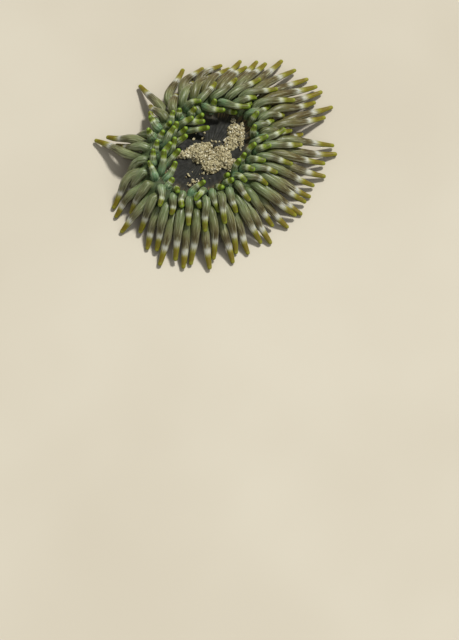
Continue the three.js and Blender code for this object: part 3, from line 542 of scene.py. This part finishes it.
def settle(plan):
    """Middle lines of the settled tentacles: they push each other apart, keep their stiffness
    and length, and stay off the floor and the body. The roots stay where they grow."""
    lines = middle_lines(plan)
    home = lines.copy()
    lengths = np.linalg.norm(np.diff(lines, axis=1), axis=2)
    count, stations = lines.shape[:2]
    share = np.linspace(0, 1, stations)[None]
    thick = half_thickness(plan, share)
    under = thick * flattened(share, plan["flat"][:, None])
    freedom = rising(np.arange(stations), ROOT_HELD, ROOT_FREE)[None]
    free = freedom[:, :, None]
    owner = np.repeat(np.arange(count), stations)
    radius = thick.reshape(-1)
    for turn in range(ROUNDS):
        if turn % LOOK_EVERY == 0:
            flat = lines.reshape(-1, 3)
            square = (flat ** 2).sum(1)
            apart = square[:, None] + square[None] - 2 * flat @ flat.T
            reach = radius[:, None] + radius[None] + ROOM + NEAR
            pairs = np.nonzero((apart < reach ** 2) & (owner[:, None] < owner[None]))
        lines = lines + pushed_apart(lines, radius, pairs) * free
        bend = np.zeros_like(lines)
        bend[:, 1:-1] = 0.5 * (lines[:, :-2] + lines[:, 2:]) - lines[:, 1:-1]
        lines = lines + STIFFNESS * bend * free
        lines = lines + HOMING * (home - lines) * free
        for at in range(1, stations):
            link = unit(lines[:, at] - lines[:, at - 1])
            lines[:, at] = lines[:, at - 1] + link * lengths[:, at - 1:at]
        height = lines[:, :, 2]
        height = np.where(freedom > 0, np.maximum(height, under + FLOOR_ROOM), height)
        top = body_top(lines[:, :, 0], lines[:, :, 1]) + thick * BODY_ROOM
        sunk = (freedom > FREE_ENOUGH) & (height < top) & (top > 0)
        lines[:, :, 2] = np.where(sunk, (height + top) / 2, height)
    return lines


# ---- surfaces

def closed_grid(rings, sides):
    """Faces of a closed body of rings, with its two end points after the rings' points."""
    ring, side = np.meshgrid(np.arange(rings - 1), np.arange(sides), indexing="ij")
    here, there = ring * sides + side, ring * sides + (side + 1) % sides
    quads = np.stack([here, there, there + sides, here + sides], -1).reshape(-1, 4)
    turn = np.arange(sides)
    start = np.stack([np.full(sides, rings * sides), (turn + 1) % sides, turn], 1)
    last = (rings - 1) * sides
    end = np.stack([np.full(sides, rings * sides + 1), last + turn, last + (turn + 1) % sides], 1)
    return quads, start, end


def laid_out(rings, last):
    """Rings as one list of points, then the middles of the first ring and of the last."""
    return np.concatenate([rings.reshape(-1, 3), rings[:1].mean(1), last.mean(0, keepdims=True)])


def read(items, field, width, kind):
    """A field of a mesh's items as an array with a row for each."""
    values = np.zeros(len(items) * width, kind)
    items.foreach_get(field, values)
    return values.reshape(-1, width)


def closed_body(name, points, marks, faces):
    """A mesh object with its marks on the corners of its faces, where a join keeps them."""
    mesh = bpy.data.meshes.new(name)
    mesh.from_pydata(points, [], [face for group in faces for face in group.tolist()])
    corners = read(mesh.loops, "vertex_index", 1, np.int32)[:, 0]
    for mark, values in marks.items():
        layer = mesh.attributes.new(mark, "FLOAT_VECTOR", "CORNER")
        layer.data.foreach_set("vector", values[corners].astype(np.float32).ravel())
    return bpy.data.objects.new(name, mesh)


def ring_shares(plan, curves):
    """Where each tentacle's rings lie as shares of its length, and how far each is closed in:
    even steps to the shoulder, then a dome whose radius falls as a quarter circle."""
    rough_length = np.linalg.norm(np.diff(curves, axis=1), axis=2).sum(1)
    shoulder = (1 - plan["thick"] * plan["at_tip"] * FULLNESS / rough_length)[:, None]
    shaft = np.linspace(0, 1, RINGS - DOME_RINGS)[None] * shoulder
    dome_turn = np.linspace(0, math.pi / 2, DOME_RINGS + 2)[1:-1]
    dome = shoulder + (1 - shoulder) * np.sin(dome_turn)[None]
    shares = np.concatenate([shaft, dome, np.ones((len(shaft), 1))], 1)
    return shares, np.concatenate([np.ones(RINGS - DOME_RINGS), np.cos(dome_turn), [0]])


def ring_frames(outward, along):
    """Sideways and upward directions of every ring, carried along from the root."""
    side = np.stack([-outward[:, 1], outward[:, 0], np.zeros(len(outward))], 1)
    sides = []
    for ring in range(along.shape[1]):
        side = unit(side - (side * along[:, ring]).sum(1, keepdims=True) * along[:, ring])
        sides.append(side)
    side = np.stack(sides, 1)
    return side, np.cross(along, side)


def tentacle_relief(seeds, turn, run):
    """Relief by the turn round a tentacle and the run along it, as a share of its girth:
    sine waves for furrows and swellings, and a root that spreads as an exponential."""
    def wave(depth, phase, seed):
        return depth * np.sin(phase + 6.3 * chance(seeds + seed))

    relief = sum(
        wave(depth, number * turn + twist * run, seed) for depth, number, twist, seed in FURROWS
    )
    (slow, slow_pace), (quick, quick_pace) = SWELLINGS
    relief = relief + wave(slow, slow_pace * run, 0.31) * rising(run, 0, SWELLING_START)
    relief = relief + wave(quick, quick_pace * run + 2 * np.cos(turn), 0.43)
    return relief + ROOT_SPREAD * np.exp(-np.clip(run - ROOT_SINK, 0, None) / ROOT_FADE)


def tentacle_surfaces(plan, lines):
    """Rings of points round every tentacle, with their marks: circles of its girth, a little
    flatter than wide towards the tip, with its relief."""
    curves = smooth_lines(lines)
    shares, closing = ring_shares(plan, curves)
    centres, length = even_points(curves, shares)
    ahead, _ = even_points(curves, np.minimum(shares + 0.01, 1))
    behind, _ = even_points(curves, np.maximum(shares - 0.01, 0))
    along = unit(ahead - behind)
    side, up = ring_frames(plan["outward"], along)
    turn = (2 * math.pi * (np.arange(SIDES) + 0.5) / SIDES)[None, None]
    run = (shares * length[:, None])[:, :, None]
    seeds = np.arange(1, len(curves) + 1)[:, None, None]
    belly = FULLNESS + BELLY * np.sin(rising(shares, 0, BELLY_END) * math.pi)
    radius = (half_thickness(plan, shares) * belly * closing)[:, :, None]
    radius = radius * (1 + tentacle_relief(seeds, turn, run))
    flat = flattened(shares, plan["flat"][:, None])[:, :, None]
    wide = side[:, :, None] * (radius * np.cos(turn))[..., None]
    tall = up[:, :, None] * (radius * np.sin(turn) * flat)[..., None]
    points = centres[:, :, None] + wide + tall
    # how far each point looks up, and more of it all round where the tentacle stands
    above = side[:, :, None, 2] * np.cos(turn) + up[:, :, None, 2] * np.sin(turn)
    above = np.clip(above + STANDING_LOOKS_UP * np.clip(along[:, :, None, 2], 0, 1), -1, 1)
    who = chance(seeds + 0.57)
    lie = full(shares[:, :, None], above, plan["tint"][:, None, None])
    fibre = full(np.cos(turn) + 7 * who, np.sin(turn), run * 0.1 + 9 * who)
    return points, {"lie": lie, "fibre": fibre, "kind": full(0.6, 1.0, who + 0 * above)}


def tentacle_bodies(plan, lines):
    """One closed body for each tentacle, in a collection of their own."""
    points, marks = tentacle_surfaces(plan, lines)
    faces = closed_grid(points.shape[1] - 1, SIDES)
    group = bpy.data.collections.new("growing")
    for at, rings in enumerate(points):
        own = {name: laid_out(values[at, :-1], values[at, -1]) for name, values in marks.items()}
        whole = laid_out(rings[:-1], rings[-1])
        group.objects.link(closed_body(f"growing_{at:03d}", whole, own, faces))
    return group


def body_outline():
    """The body's outline at even steps, with its corners eased. It runs from the middle of
    the foot over the rim to the throat."""
    section = np.linspace(RIM_FROM, RIM_TO, RIM_STOPS)
    over = np.stack([*rim_section(section), np.linspace(*RIM_ZONES, RIM_STOPS)], 1)
    line = np.concatenate([OUTLINE_BELOW, over, OUTLINE_WITHIN])
    run = np.concatenate([[0], np.cumsum(np.linalg.norm(np.diff(line[:, :3], axis=0), axis=1))])
    # wide steps under the foot, closer ones over the rest
    weight = np.where(line[:, 3] < FOOT_ZONE, FOOT_STEPS, 1.0)
    measure = np.concatenate([[0], np.cumsum(np.diff(run) * (weight[1:] + weight[:-1]) / 2)])
    even = np.linspace(0, measure[-1], OUTLINE_POINTS)
    outline = np.stack([np.interp(even, measure, line[:, axis]) for axis in range(4)], 1)
    for _ in range(3):
        outline[1:-1] = 0.5 * outline[1:-1] + 0.25 * (outline[:-2] + outline[2:])
    return outline


def body_surface():
    """The body as rings of points on ovals along its outline, with cosines round it and along
    it: rows of small warts under the margin, wrinkles on the column, furrows that run out
    over the disc, and ribs on the lips."""
    outline = body_outline()
    angle = round_turns(BODY_SIDES)
    long_half, short_half, level, zone = outline[1:-1].T[:, :, None]
    warts = np.clip(np.cos(WARTS_ROUND * angle) * np.cos(zone * WART_PITCH), 0, 1) ** 2
    warts = warts * rising(zone, *WART_ZONES)
    wrinkles = np.sin(zone * WRINKLE_PITCH + 2 * np.sin(3 * angle))
    wrinkles = wrinkles + np.cos(WRINKLES_ROUND * angle)
    column = rising(zone, *COLUMN_FROM) * rising(zone, *COLUMN_TO)
    out = column * (WART_SIZE * warts + WRINKLE * wrinkles)
    lips = rising(np.abs(zone - LIP_ZONE), LIP_HALF, 0)
    out = out + LIP_SIZE * lips * np.cos(LIP_RIBS * angle)
    rise = sum(depth * np.cos(number * angle + shift) for depth, number, shift in RAYS)
    rise = rise + DISC_WAVE * np.sin(zone * DISC_WAVE_PITCH + 2.5 * np.sin(5 * angle))
    rise = rise * rising(zone, *DISC_FROM) * rising(zone, *DISC_TO)
    points = full(
        *on_oval(long_half + out, short_half + out, angle, OVAL_TURN), np.maximum(level + rise, 0),
    )

    def whole(values, first, last):
        return np.concatenate([values.reshape(-1, 3), [first], [last]])

    marks = {
        "lie": whole(0 * points, (0, 0, 0), (0, 0, 0)),
        "fibre": whole(full(np.cos(angle), np.sin(angle), zone), (0, 0, 0), (0, 0, 1)),
        "kind": whole(full(zone + 0 * angle, 0, 0.5), (0, 0, 0.5), (1, 0, 0.5)),
    }
    points = whole(points, (0, 0, outline[0, 2]), (0, 0, outline[-1, 2]))
    faces = closed_grid(len(outline) - 2, BODY_SIDES)
    return closed_body("growing_body", points, marks, faces)


def joined(body, group):
    """One closed mesh of the body and every tentacle, with nothing left inside it."""
    scene = bpy.context.scene.collection
    scene.objects.link(body)
    scene.children.link(group)
    join = body.modifiers.new("join", "BOOLEAN")
    join.operation = "UNION"
    join.operand_type = "COLLECTION"
    join.collection = group
    join.solver = "MANIFOLD"
    graph = bpy.context.evaluated_depsgraph_get()
    mesh = bpy.data.meshes.new_from_object(body.evaluated_get(graph))
    for piece in [body, *group.objects]:
        bpy.data.objects.remove(piece)
    bpy.data.collections.remove(group)
    return mesh


def ease_joins(mesh):
    """Points of the mesh, eased where corners of two parts share one. A point's worth falls
    with its distance from there along the edges, and it moves towards the middle of its
    neighbours by that worth, round after round."""
    points = read(mesh.vertices, "co", 3, np.float32).astype(float)
    one, other = read(mesh.edges, "vertices", 2, np.int32).T
    corners = read(mesh.loops, "vertex_index", 1, np.int32)[:, 0]
    who = read(mesh.attributes["kind"].data, "vector", 3, np.float32)[:, 2]
    low, high = np.full(len(points), FAR), np.full(len(points), -FAR)
    np.minimum.at(low, corners, who)
    np.maximum.at(high, corners, who)
    away = np.where(high - low > 1e-5, 0.0, FAR)
    size = np.linalg.norm(points[one] - points[other], axis=1)
    for _ in range(EASE_LOOKS):
        np.minimum.at(away, one, away[other] + size)
        np.minimum.at(away, other, away[one] + size)
    worth = EASE_STEP * rising(away, EASE_REACH, 0)[:, None] ** EASE_POWER
    ends = np.concatenate([one, other])
    neighbours = np.bincount(ends, minlength=len(points))[:, None]
    for _ in range(EASE_ROUNDS):
        total = np.stack([
            np.bincount(one, points[other, axis], len(points))
            + np.bincount(other, points[one, axis], len(points))
            for axis in range(3)
        ], 1)
        points += worth * (total / neighbours - points)
    return points


def anemone_skin(plan, lines):
    """The whole animal's skin, drawn in a little so that it lies inside its solids."""
    mesh = joined(body_surface(), tentacle_bodies(plan, lines))
    points = ease_joins(mesh)
    points[:, :2] *= DRAWN_IN
    points[:, 2] = np.maximum(points[:, 2], 0)
    mesh.vertices.foreach_set("co", (points * MM).astype(np.float32).ravel())
    mesh.materials.clear()
    mesh.materials.append(flesh_material())
    mesh.polygons.foreach_set("use_smooth", np.ones(len(mesh.polygons), bool))
    mesh.polygons.foreach_set("material_index", np.zeros(len(mesh.polygons), np.int32))
    mesh.update()
    skin = shown("anemone_skin", mesh)
    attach(skin, "root")
    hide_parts(*FLESH)


# ---- sand

def grain_shape():
    """Points and faces of an eight-sided body with each face split in four and drawn out
    to a ball: 18 points and 32 faces."""
    corners = np.array([(1, 0, 0), (0, 1, 0), (-1, 0, 0), (0, -1, 0), (0, 0, 1), (0, 0, -1)], float)
    base = [(0, 1, 4), (1, 2, 4), (2, 3, 4), (3, 0, 4), (1, 0, 5), (2, 1, 5), (3, 2, 5), (0, 3, 5)]
    points, faces, middles = list(corners), [], {}

    def halfway(a, b):
        key = (min(a, b), max(a, b))
        if key not in middles:
            middles[key] = len(points)
            points.append(unit(points[a] + points[b]))
        return middles[key]

    for a, b, c in base:
        ab, bc, ca = halfway(a, b), halfway(b, c), halfway(c, a)
        faces += [(a, ab, ca), (ab, b, bc), (ca, bc, c), (ab, bc, ca)]
    return np.array(points), np.array(faces)


def tumbled(shapes, amounts):
    """Shapes turned by rows of three chances, as even turns of a ball. The quaternion is
    q = (sqrt(1-a) sin 2 pi b, sqrt(1-a) cos 2 pi b, sqrt a sin 2 pi c) with w = sqrt a cos
    2 pi c, and a point p moves by 2 w (q x p) + 2 q x (q x p)."""
    a, b, c = (amounts * [1, 2 * math.pi, 2 * math.pi]).T[:, :, None]
    x, y = np.sqrt(1 - a) * np.sin(b), np.sqrt(1 - a) * np.cos(b)
    q, w = np.stack([x, y, np.sqrt(a) * np.sin(c)], -1), (np.sqrt(a) * np.cos(c))[..., None]
    moved = 2 * np.cross(q, shapes)
    return shapes + w * moved + np.cross(q, moved)


def disc_top(x, y):
    """Height of the oral disc and lips at plan points: the level of the outermost ring of
    the body's outline that a point lies outside of."""
    outline = body_outline()
    along, across = swung(x, y, -OVAL_TURN)
    height = np.full(x.shape, THROAT_LEVEL)
    for long_half, short_half, level, _ in outline[outline[:, 3] > DISC_FROM_ZONE][::-1]:
        outside = (along / (long_half + 1e-6)) ** 2 + (across / (short_half + 1e-6)) ** 2 > 1
        height = np.where(outside, level, height)
    return height


def oval_spots(rng, x, y, half_x, half_y, turn, count):
    """Chance plan points inside a turned oval, even over its ground."""
    reach, angle = np.sqrt(rng.random(count)), 2 * math.pi * rng.random(count)
    u, v = on_oval(half_x * reach, half_y * reach, angle, turn)
    return np.stack([x + u, y + v], 1)


def mound_height(x, y):
    """Height of the heap over the disc at plan points: the greatest of its mounds, each a
    rise times the root of one less the square of the share of the way out."""
    height = np.zeros(np.shape(x))
    for at_x, at_y, half_x, half_y, turn, rise in MOUNDS:
        u, v = swung(x - at_x, y - at_y, -turn)
        out = (u / (half_x * MOUND_SHARE)) ** 2 + (v / (half_y * MOUND_SHARE)) ** 2
        height = np.maximum(height, (rise - MOUND_DROP) * np.sqrt(np.clip(1 - out, 0, 1)))
    return height


def sand_bed():
    """The packed sand under the loose grains, a closed body for each mound. A ring lies at
    the heap's height there, with lumps as sine waves over the plan, and the foot closes
    under it in the disc."""
    angle = round_turns(MOUND_SIDES)
    shares = np.sin(np.linspace(0.1, 1, MOUND_RINGS) * math.pi / 2)
    shares = np.concatenate([shares, [1.0]])[:, None]
    reach, fall = MOUND_SHARE * shares, np.sqrt(1 - np.minimum(shares, 0.999) ** 2)
    groups = closed_grid(MOUND_RINGS + 1, MOUND_SIDES)
    points, faces = [], []
    for x, y, half_x, half_y, turn, rise in MOUNDS:
        u, v = on_oval(half_x * reach, half_y * reach, angle, turn)
        u, v = x + u, y + v
        lumps = BED_LUMPS[0] * np.sin(5.1 * u + 2 * np.sin(3.3 * v))
        lumps = lumps + BED_LUMPS[1] * np.sin(6.3 * v + 1.7 * u)
        level = disc_top(u, v) + (rise - MOUND_DROP) * fall + lumps - BED_SINK
        level[-1] = level[-2] - BED_FOOT
        rings = np.stack([u, v, level], -1)
        base = sum(len(mound) for mound in points)
        points.append(laid_out(rings, rings[-1]))
        for group in groups:
            faces += (group[:, ::-1] + base).tolist()
    return np.concatenate(points), faces


def place_grains(plan, lines, rng):
    """Middles and sizes of the grains, which lie on the mounds and on the bare disc, but not
    in the heap's bare hollow and not in a tentacle."""
    spots = []
    for x, y, half_x, half_y, turn, _ in MOUNDS:
        count = int(math.pi * half_x * half_y * GRAINS_ON_A_SQUARE)
        spots.append(oval_spots(rng, x, y, half_x, half_y, turn, count))
    for scatter in SCATTERS:
        spots.append(oval_spots(rng, *scatter))
    x, y = np.concatenate(spots).T
    at_x, at_y, half_x, half_y = SAND_HOLLOW
    lying = ((x - at_x) / half_x) ** 2 + ((y - at_y) / half_y) ** 2 >= 1
    x, y = x[lying], y[lying]
    small, large = GRAIN_SIZES
    size = small + (large - small) * rng.random(len(x)) ** SMALL_GRAINS
    lift, spread = GRAIN_LIFT
    height = disc_top(x, y) + mound_height(x, y) + size * (lift + spread * rng.random(len(x)))
    places = np.stack([x, y, height], 1)
    curves = smooth_lines(lines, 3)
    thick = half_thickness(plan, np.linspace(0, 1, curves.shape[1])[None]).ravel()
    apart = np.linalg.norm(places[:, None] - curves.reshape(-1, 3)[None], axis=2)
    clear = (apart > thick[None] + size[:, None] * GRAIN_CLEAR).all(1)
    return places[clear], size[clear]


def shell_sand(plan, lines):
    """A heap of rounded grains and shell chips on a bed of packed sand, as one joined mesh.
    A grain is a ball with its points moved in and out by chance, stretched and tumbled."""
    rng = np.random.default_rng(7)
    places, size = place_grains(plan, lines, rng)
    shape, faces = grain_shape()
    count = len(places)
    stretches = [least + more * rng.random(count) for least, more in GRAIN_STRETCHES]
    lumps = 1 + GRAIN_LUMPS * (rng.random((count, len(shape), 1)) - 0.5)
    grains = shape[None] * lumps * (np.stack(stretches, 1) * size[:, None])[:, None]
    grains = tumbled(grains, rng.random((count, 3))) + places[:, None]
    grain_faces = (faces[None] + len(shape) * np.arange(count)[:, None, None]).reshape(-1, 3)
    bed, bed_faces = sand_bed()
    start = count * len(shape)
    mesh = bpy.data.meshes.new("shell_sand")
    mesh.from_pydata(
        np.concatenate([grains.reshape(-1, 3), bed]) * MM, [],
        grain_faces.tolist() + [[point + start for point in face] for face in bed_faces],
    )
    shade = np.concatenate([np.repeat(rng.random(count), len(shape)), np.full(len(bed), BED_TONE)])
    tone = mesh.attributes.new("tone", "FLOAT", "POINT")
    tone.data.foreach_set("value", shade.astype(np.float32))
    mesh.materials.append(sand_material())
    mesh.update()
    sand = shown("shell_sand", mesh)
    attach(sand, "root")
    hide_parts("sand_heap")


# ---- materials

class Mixer:
    """Builds a material's nodes. A value may be a number, a socket or a colour's code."""

    def __init__(self, name):
        self.material = bpy.data.materials.new(name)
        self.material.use_nodes = True
        self.tree = self.material.node_tree
        self.tree.nodes.clear()
        self.shader = self.node("BsdfPrincipled")
        self.feed(self.node("OutputMaterial").inputs[0], self.shader.outputs[0])

    def node(self, kind, **settings):
        node = self.tree.nodes.new("ShaderNode" + kind)
        for name, value in settings.items():
            setattr(node, name, value)
        return node

    def feed(self, socket, value):
        if isinstance(value, bpy.types.NodeSocket):
            self.tree.links.new(value, socket)
        else:
            socket.default_value = paint(value) if isinstance(value, str) else value

    def fill(self, node, *values, **named):
        """Feeds a node's sockets in turn and by name, and gives its first output."""
        for socket, value in zip(node.inputs, values):
            self.feed(socket, value)
        for name, value in named.items():
            self.feed(node.inputs[name.replace("_", " ")], value)
        return node.outputs[0]

    def finish(self, **values):
        self.fill(self.shader, **values)
        return self.material

    def mark(self, name, output="Vector"):
        """What an attribute of the mesh says."""
        return self.node("Attribute", attribute_name=name).outputs[output]

    def place(self):
        return self.node("TexCoord").outputs["Object"]

    def split(self, vector):
        node = self.node("SeparateXYZ")
        self.fill(node, vector)
        return node.outputs

    def noise(self, vector, scale, detail=3.0, rough=0.55, stretched=None):
        if stretched:
            vector = self.fill(self.node("Mapping"), vector, Scale=stretched)
        node = self.node("TexNoise")
        return self.fill(node, vector, Scale=scale, Detail=detail, Roughness=rough)

    def work(self, how, *values):
        return self.fill(self.node("Math", operation=how), *values)

    def times(self, first, *others):
        for other in others:
            first = self.work("MULTIPLY", first, other)
        return first

    def plus(self, first, *others):
        for other in others:
            first = self.work("ADD", first, other)
        return first

    def either_way(self, value, width):
        """A share from 0 to 1 spread over a width, half of it below zero."""
        return self.work("MULTIPLY_ADD", value, width, -width / 2)

    def ease(self, value, low, high, to_low=0.0, to_high=1.0):
        """A soft step from one value to another between two places."""
        node = self.node("MapRange", interpolation_type="SMOOTHSTEP")
        return self.fill(node, value, low, high, to_low, to_high)

    def within(self, value, rise_from, rise_to, fall_from, fall_to):
        """1 between two places of a value, falling softly to 0 outside them."""
        rise = self.ease(value, rise_from, rise_to)
        return self.times(rise, self.ease(value, fall_to, fall_from))

    def ramp(self, value, stops):
        node = self.node("ValToRGB")
        points = node.color_ramp.elements
        while len(points) < len(stops):
            points.new(1.0)
        for point, (at, code) in zip(points, stops):
            point.position = at
            point.color = paint(code)
        return self.fill(node, value)

    def mix(self, amount, one, other, how="MIX"):
        node = self.node("Mix", data_type="RGBA", blend_type=how)
        for socket, value in ((0, amount), (6, one), (7, other)):
            self.feed(node.inputs[socket], value)
        return node.outputs[2]

    def bump(self, height, strength, distance):
        return self.fill(self.node("Bump"), strength, distance, Height=height)


def tentacle_colour(m, share, above, tint, who, streak, drift, fine):
    """Olive-green roots, darkest at the root with painted shade, that turn grey and then brown, a
    soft pale band that bleeds into the brown in streaks, and olive tips with a browner patch
    above and a yellow-green rim. The inner rows are greener, with lime tips. Sides are pale
    along the edge. Painted shade browns the undersides, and deepens the brown under the pale
    band on some shafts."""
    # the bands wander, start at a place of each tentacle's own, and bleed below the pale one
    at = m.plus(share, m.either_way(drift, 0.10), m.either_way(who, 0.06))
    at = m.work("MULTIPLY_ADD", m.either_way(streak, 0.16), m.ease(at, 0.74, 0.70), at)
    colour = m.mix(tint, m.ramp(at, OUTER_BANDS), m.ramp(at, INNER_BANDS))
    shaft = m.within(share, *SHAFT)
    # some shafts are browner, some greener, and so are whole sides of the crown
    across, along, _ = m.split(m.place())
    quarter = m.ease(m.plus(across, along), -0.008, 0.040, 0.0, 0.45)
    not_inner = m.work("MULTIPLY_ADD", tint, -0.55, 1.0)
    before_band = m.times(shaft, m.ease(share, 0.66, 0.52))
    brown = m.plus(m.times(m.ease(who, 0.40, 0.95), 0.35), quarter)
    colour = m.mix(m.times(brown, not_inner, before_band), colour, "54461A")
    fresh = m.ease(across, -0.004, -0.030, 0.0, 0.32)
    colour = m.mix(m.times(fresh, before_band), colour, "92A27C")
    # the patch on the upper side of a tip, inside its paler rim
    spot = m.times(m.within(share, *TIP_SPOT), m.ease(above, 0.45, 0.80), 0.85)
    colour = m.mix(spot, colour, m.mix(tint, "6B5B0A", "4C520A"))
    # a smoky stretch of each shaft under its pale band, darker on some than on others: the shafts'
    # own brown, deepened with painted shade of the gaps between tentacles
    smoky_brown_and_shade = m.times(m.within(share, *SMOKY_AND_SHADED), m.ease(drift, 0.38, 0.60, 0.15, 0.62), not_inner)
    colour = m.mix(smoky_brown_and_shade, colour, "33280C")
    # streaks along the shaft, pale and dark, and pale flecks
    colour = m.mix(m.times(m.ease(streak, 0.54, 0.68), shaft, 0.50), colour, "BABFA0")
    colour = m.mix(m.times(m.ease(streak, 0.48, 0.34), shaft, 0.62), colour, "3A300C")
    colour = m.mix(m.times(m.ease(fine, 0.58, 0.70), shaft, 0.20), colour, "C6C8B8")
    # pale edges on the sides, and painted shade in brown on the undersides
    beside = m.work("ABSOLUTE", m.plus(above, -0.38))
    colour = m.mix(m.times(m.ease(beside, 0.20, 0.04), shaft, 0.30), colour, "B4B79C")
    # painted shade: surfaces that face down are browned as if neighbours shaded them
    below = m.times(m.ease(above, 0.30, -0.20), m.ease(share, 0.97, 0.80, 0.35, 0.80))
    return m.mix(below, colour, "4A390C")


def body_colour(m, zone, fibre):
    """Bands by zone, streaks that run out over the charcoal disc from the mouth, and tan
    stripes on the wall inside the rim."""
    ray = m.noise(fibre, 2.4, 4.0, 0.6, stretched=(9.0, 9.0, 1.2))
    stripe = m.noise(fibre, 1.9, 2.0, stretched=(14.0, 14.0, 0.5))
    colour = m.ramp(zone, BODY_BANDS)
    colour = m.mix(m.times(m.ease(ray, 0.50, 0.72), 0.26), colour, "3B3A2B")
    colour = m.mix(m.times(m.ease(ray, 0.48, 0.30), 0.40), colour, "0E0E0A")
    wall = m.times(m.within(zone, *INNER_WALL), m.ease(stripe, 0.50, 0.62), 0.6)
    return m.mix(wall, colour, "7D6A44")


def flesh_material():
    """Tentacles take over from the body a little way out of their roots. All of it is
    mottled, wet on the tentacles, duller on the body, and lets a little light in."""
    m = Mixer("anemone_flesh")
    share, above, tint = m.split(m.mark("lie"))
    zone, is_tentacle, who = m.split(m.mark("kind"))
    fibre = m.mark("fibre")
    drift = m.noise(fibre, 1.6, 2.0, stretched=(1.4, 1.4, 2.0))
    streak = m.noise(fibre, 1.9, 3.0, stretched=(2.2, 2.2, 1.3))
    fine = m.noise(fibre, 2.4, 3.0, 0.6, stretched=(4.5, 4.5, 2.2))
    tentacle = tentacle_colour(m, share, above, tint, who, streak, drift, fine)
    blend = m.times(is_tentacle, m.ease(share, 0.02, 0.14, 0.35, 1.0))
    colour = m.mix(blend, body_colour(m, zone, fibre), tentacle)
    grain = m.noise(m.place(), 2600, 3.0)
    colour = m.mix(m.times(grain, 0.20), colour, "8A8C78", "SOFT_LIGHT")
    wet = m.ease(m.noise(m.place(), 900, 2.0), 0.3, 0.7, 0.36, 0.52)
    rough = m.plus(wet, m.ease(is_tentacle, 0.9, 0.1, 0.0, 0.3))
    height = m.plus(m.times(streak, 0.7), m.times(grain, 0.3))
    return m.finish(
        Base_Color=colour, Roughness=rough, Normal=m.bump(height, 0.30, 0.00018),
        Subsurface_Weight=0.22, Subsurface_Radius=(1.0, 0.8, 0.35), Subsurface_Scale=0.0007,
        IOR=1.42,
    )


def sand_material():
    """Grains of shell sand, cream to tan, some white and a few brown, each mottled."""
    m = Mixer("shell_sand")
    colour = m.ramp(m.mark("tone", "Fac"), SAND_TONES)
    mottle = m.noise(m.place(), 3200, 3.0)
    colour = m.mix(m.times(m.ease(mottle, 0.45, 0.75), 0.30), colour, "83754F")
    rough = m.ease(m.noise(m.place(), 1500, 2.0), 0.3, 0.7, 0.55, 0.80)
    return m.finish(
        Base_Color=colour, Roughness=rough, Normal=m.bump(mottle, 0.4, 0.0001),
        Subsurface_Weight=0.1, Subsurface_Radius=(1.0, 0.8, 0.6), Subsurface_Scale=0.0004,
    )


def floor_material():
    m = Mixer("pale_floor")
    cloud = m.noise(m.place(), 9, 3.0)
    colour = m.mix(m.ease(cloud, 0.3, 0.7), "BFB8A8", "C6C0B1")
    return m.finish(Base_Color=colour, Roughness=0.85)


# ---- floor and light

def lay_floor():
    mesh = bpy.data.meshes.new("floor")
    corners = FLOOR_HALF * np.array([(-1, -1, 0), (1, -1, 0), (1, 1, 0), (-1, 1, 0)])
    mesh.from_pydata(corners, [], [(0, 1, 2, 3)])
    mesh.materials.append(floor_material())
    floor = shown("floor", mesh)


def hang_light(name, kind, at, power, colour):
    """A light that hangs at a place and shines at the middle of the floor."""
    data = bpy.data.lights.new(name, kind)
    data.energy = power
    data.color = colour
    light = shown(name, data)
    light.location = at
    light.rotation_euler = aimed(-Vector(at))
    return data


def light_the_scene():
    hang_light("key", "SUN", KEY_FROM, KEY_POWER, KEY_COLOUR).angle = math.radians(KEY_DEGREES)
    fill = hang_light("fill", "AREA", FILL_AT, FILL_POWER, FILL_COLOUR)
    fill.shape, fill.size = "DISK", FILL_SIZE
    scene, world = bpy.context.scene, bpy.data.worlds.new("studio")
    world.use_nodes = True
    sky = world.node_tree.nodes["Background"].inputs
    sky["Color"].default_value, sky["Strength"].default_value = WORLD_COLOUR, WORLD_POWER
    scene.world = world
    scene.view_settings.view_transform = "Standard"


place_camera()
plan = tentacle_plan()
lines = settle(plan)
anemone_skin(plan, lines)
shell_sand(plan, lines)
lay_floor()
light_the_scene()
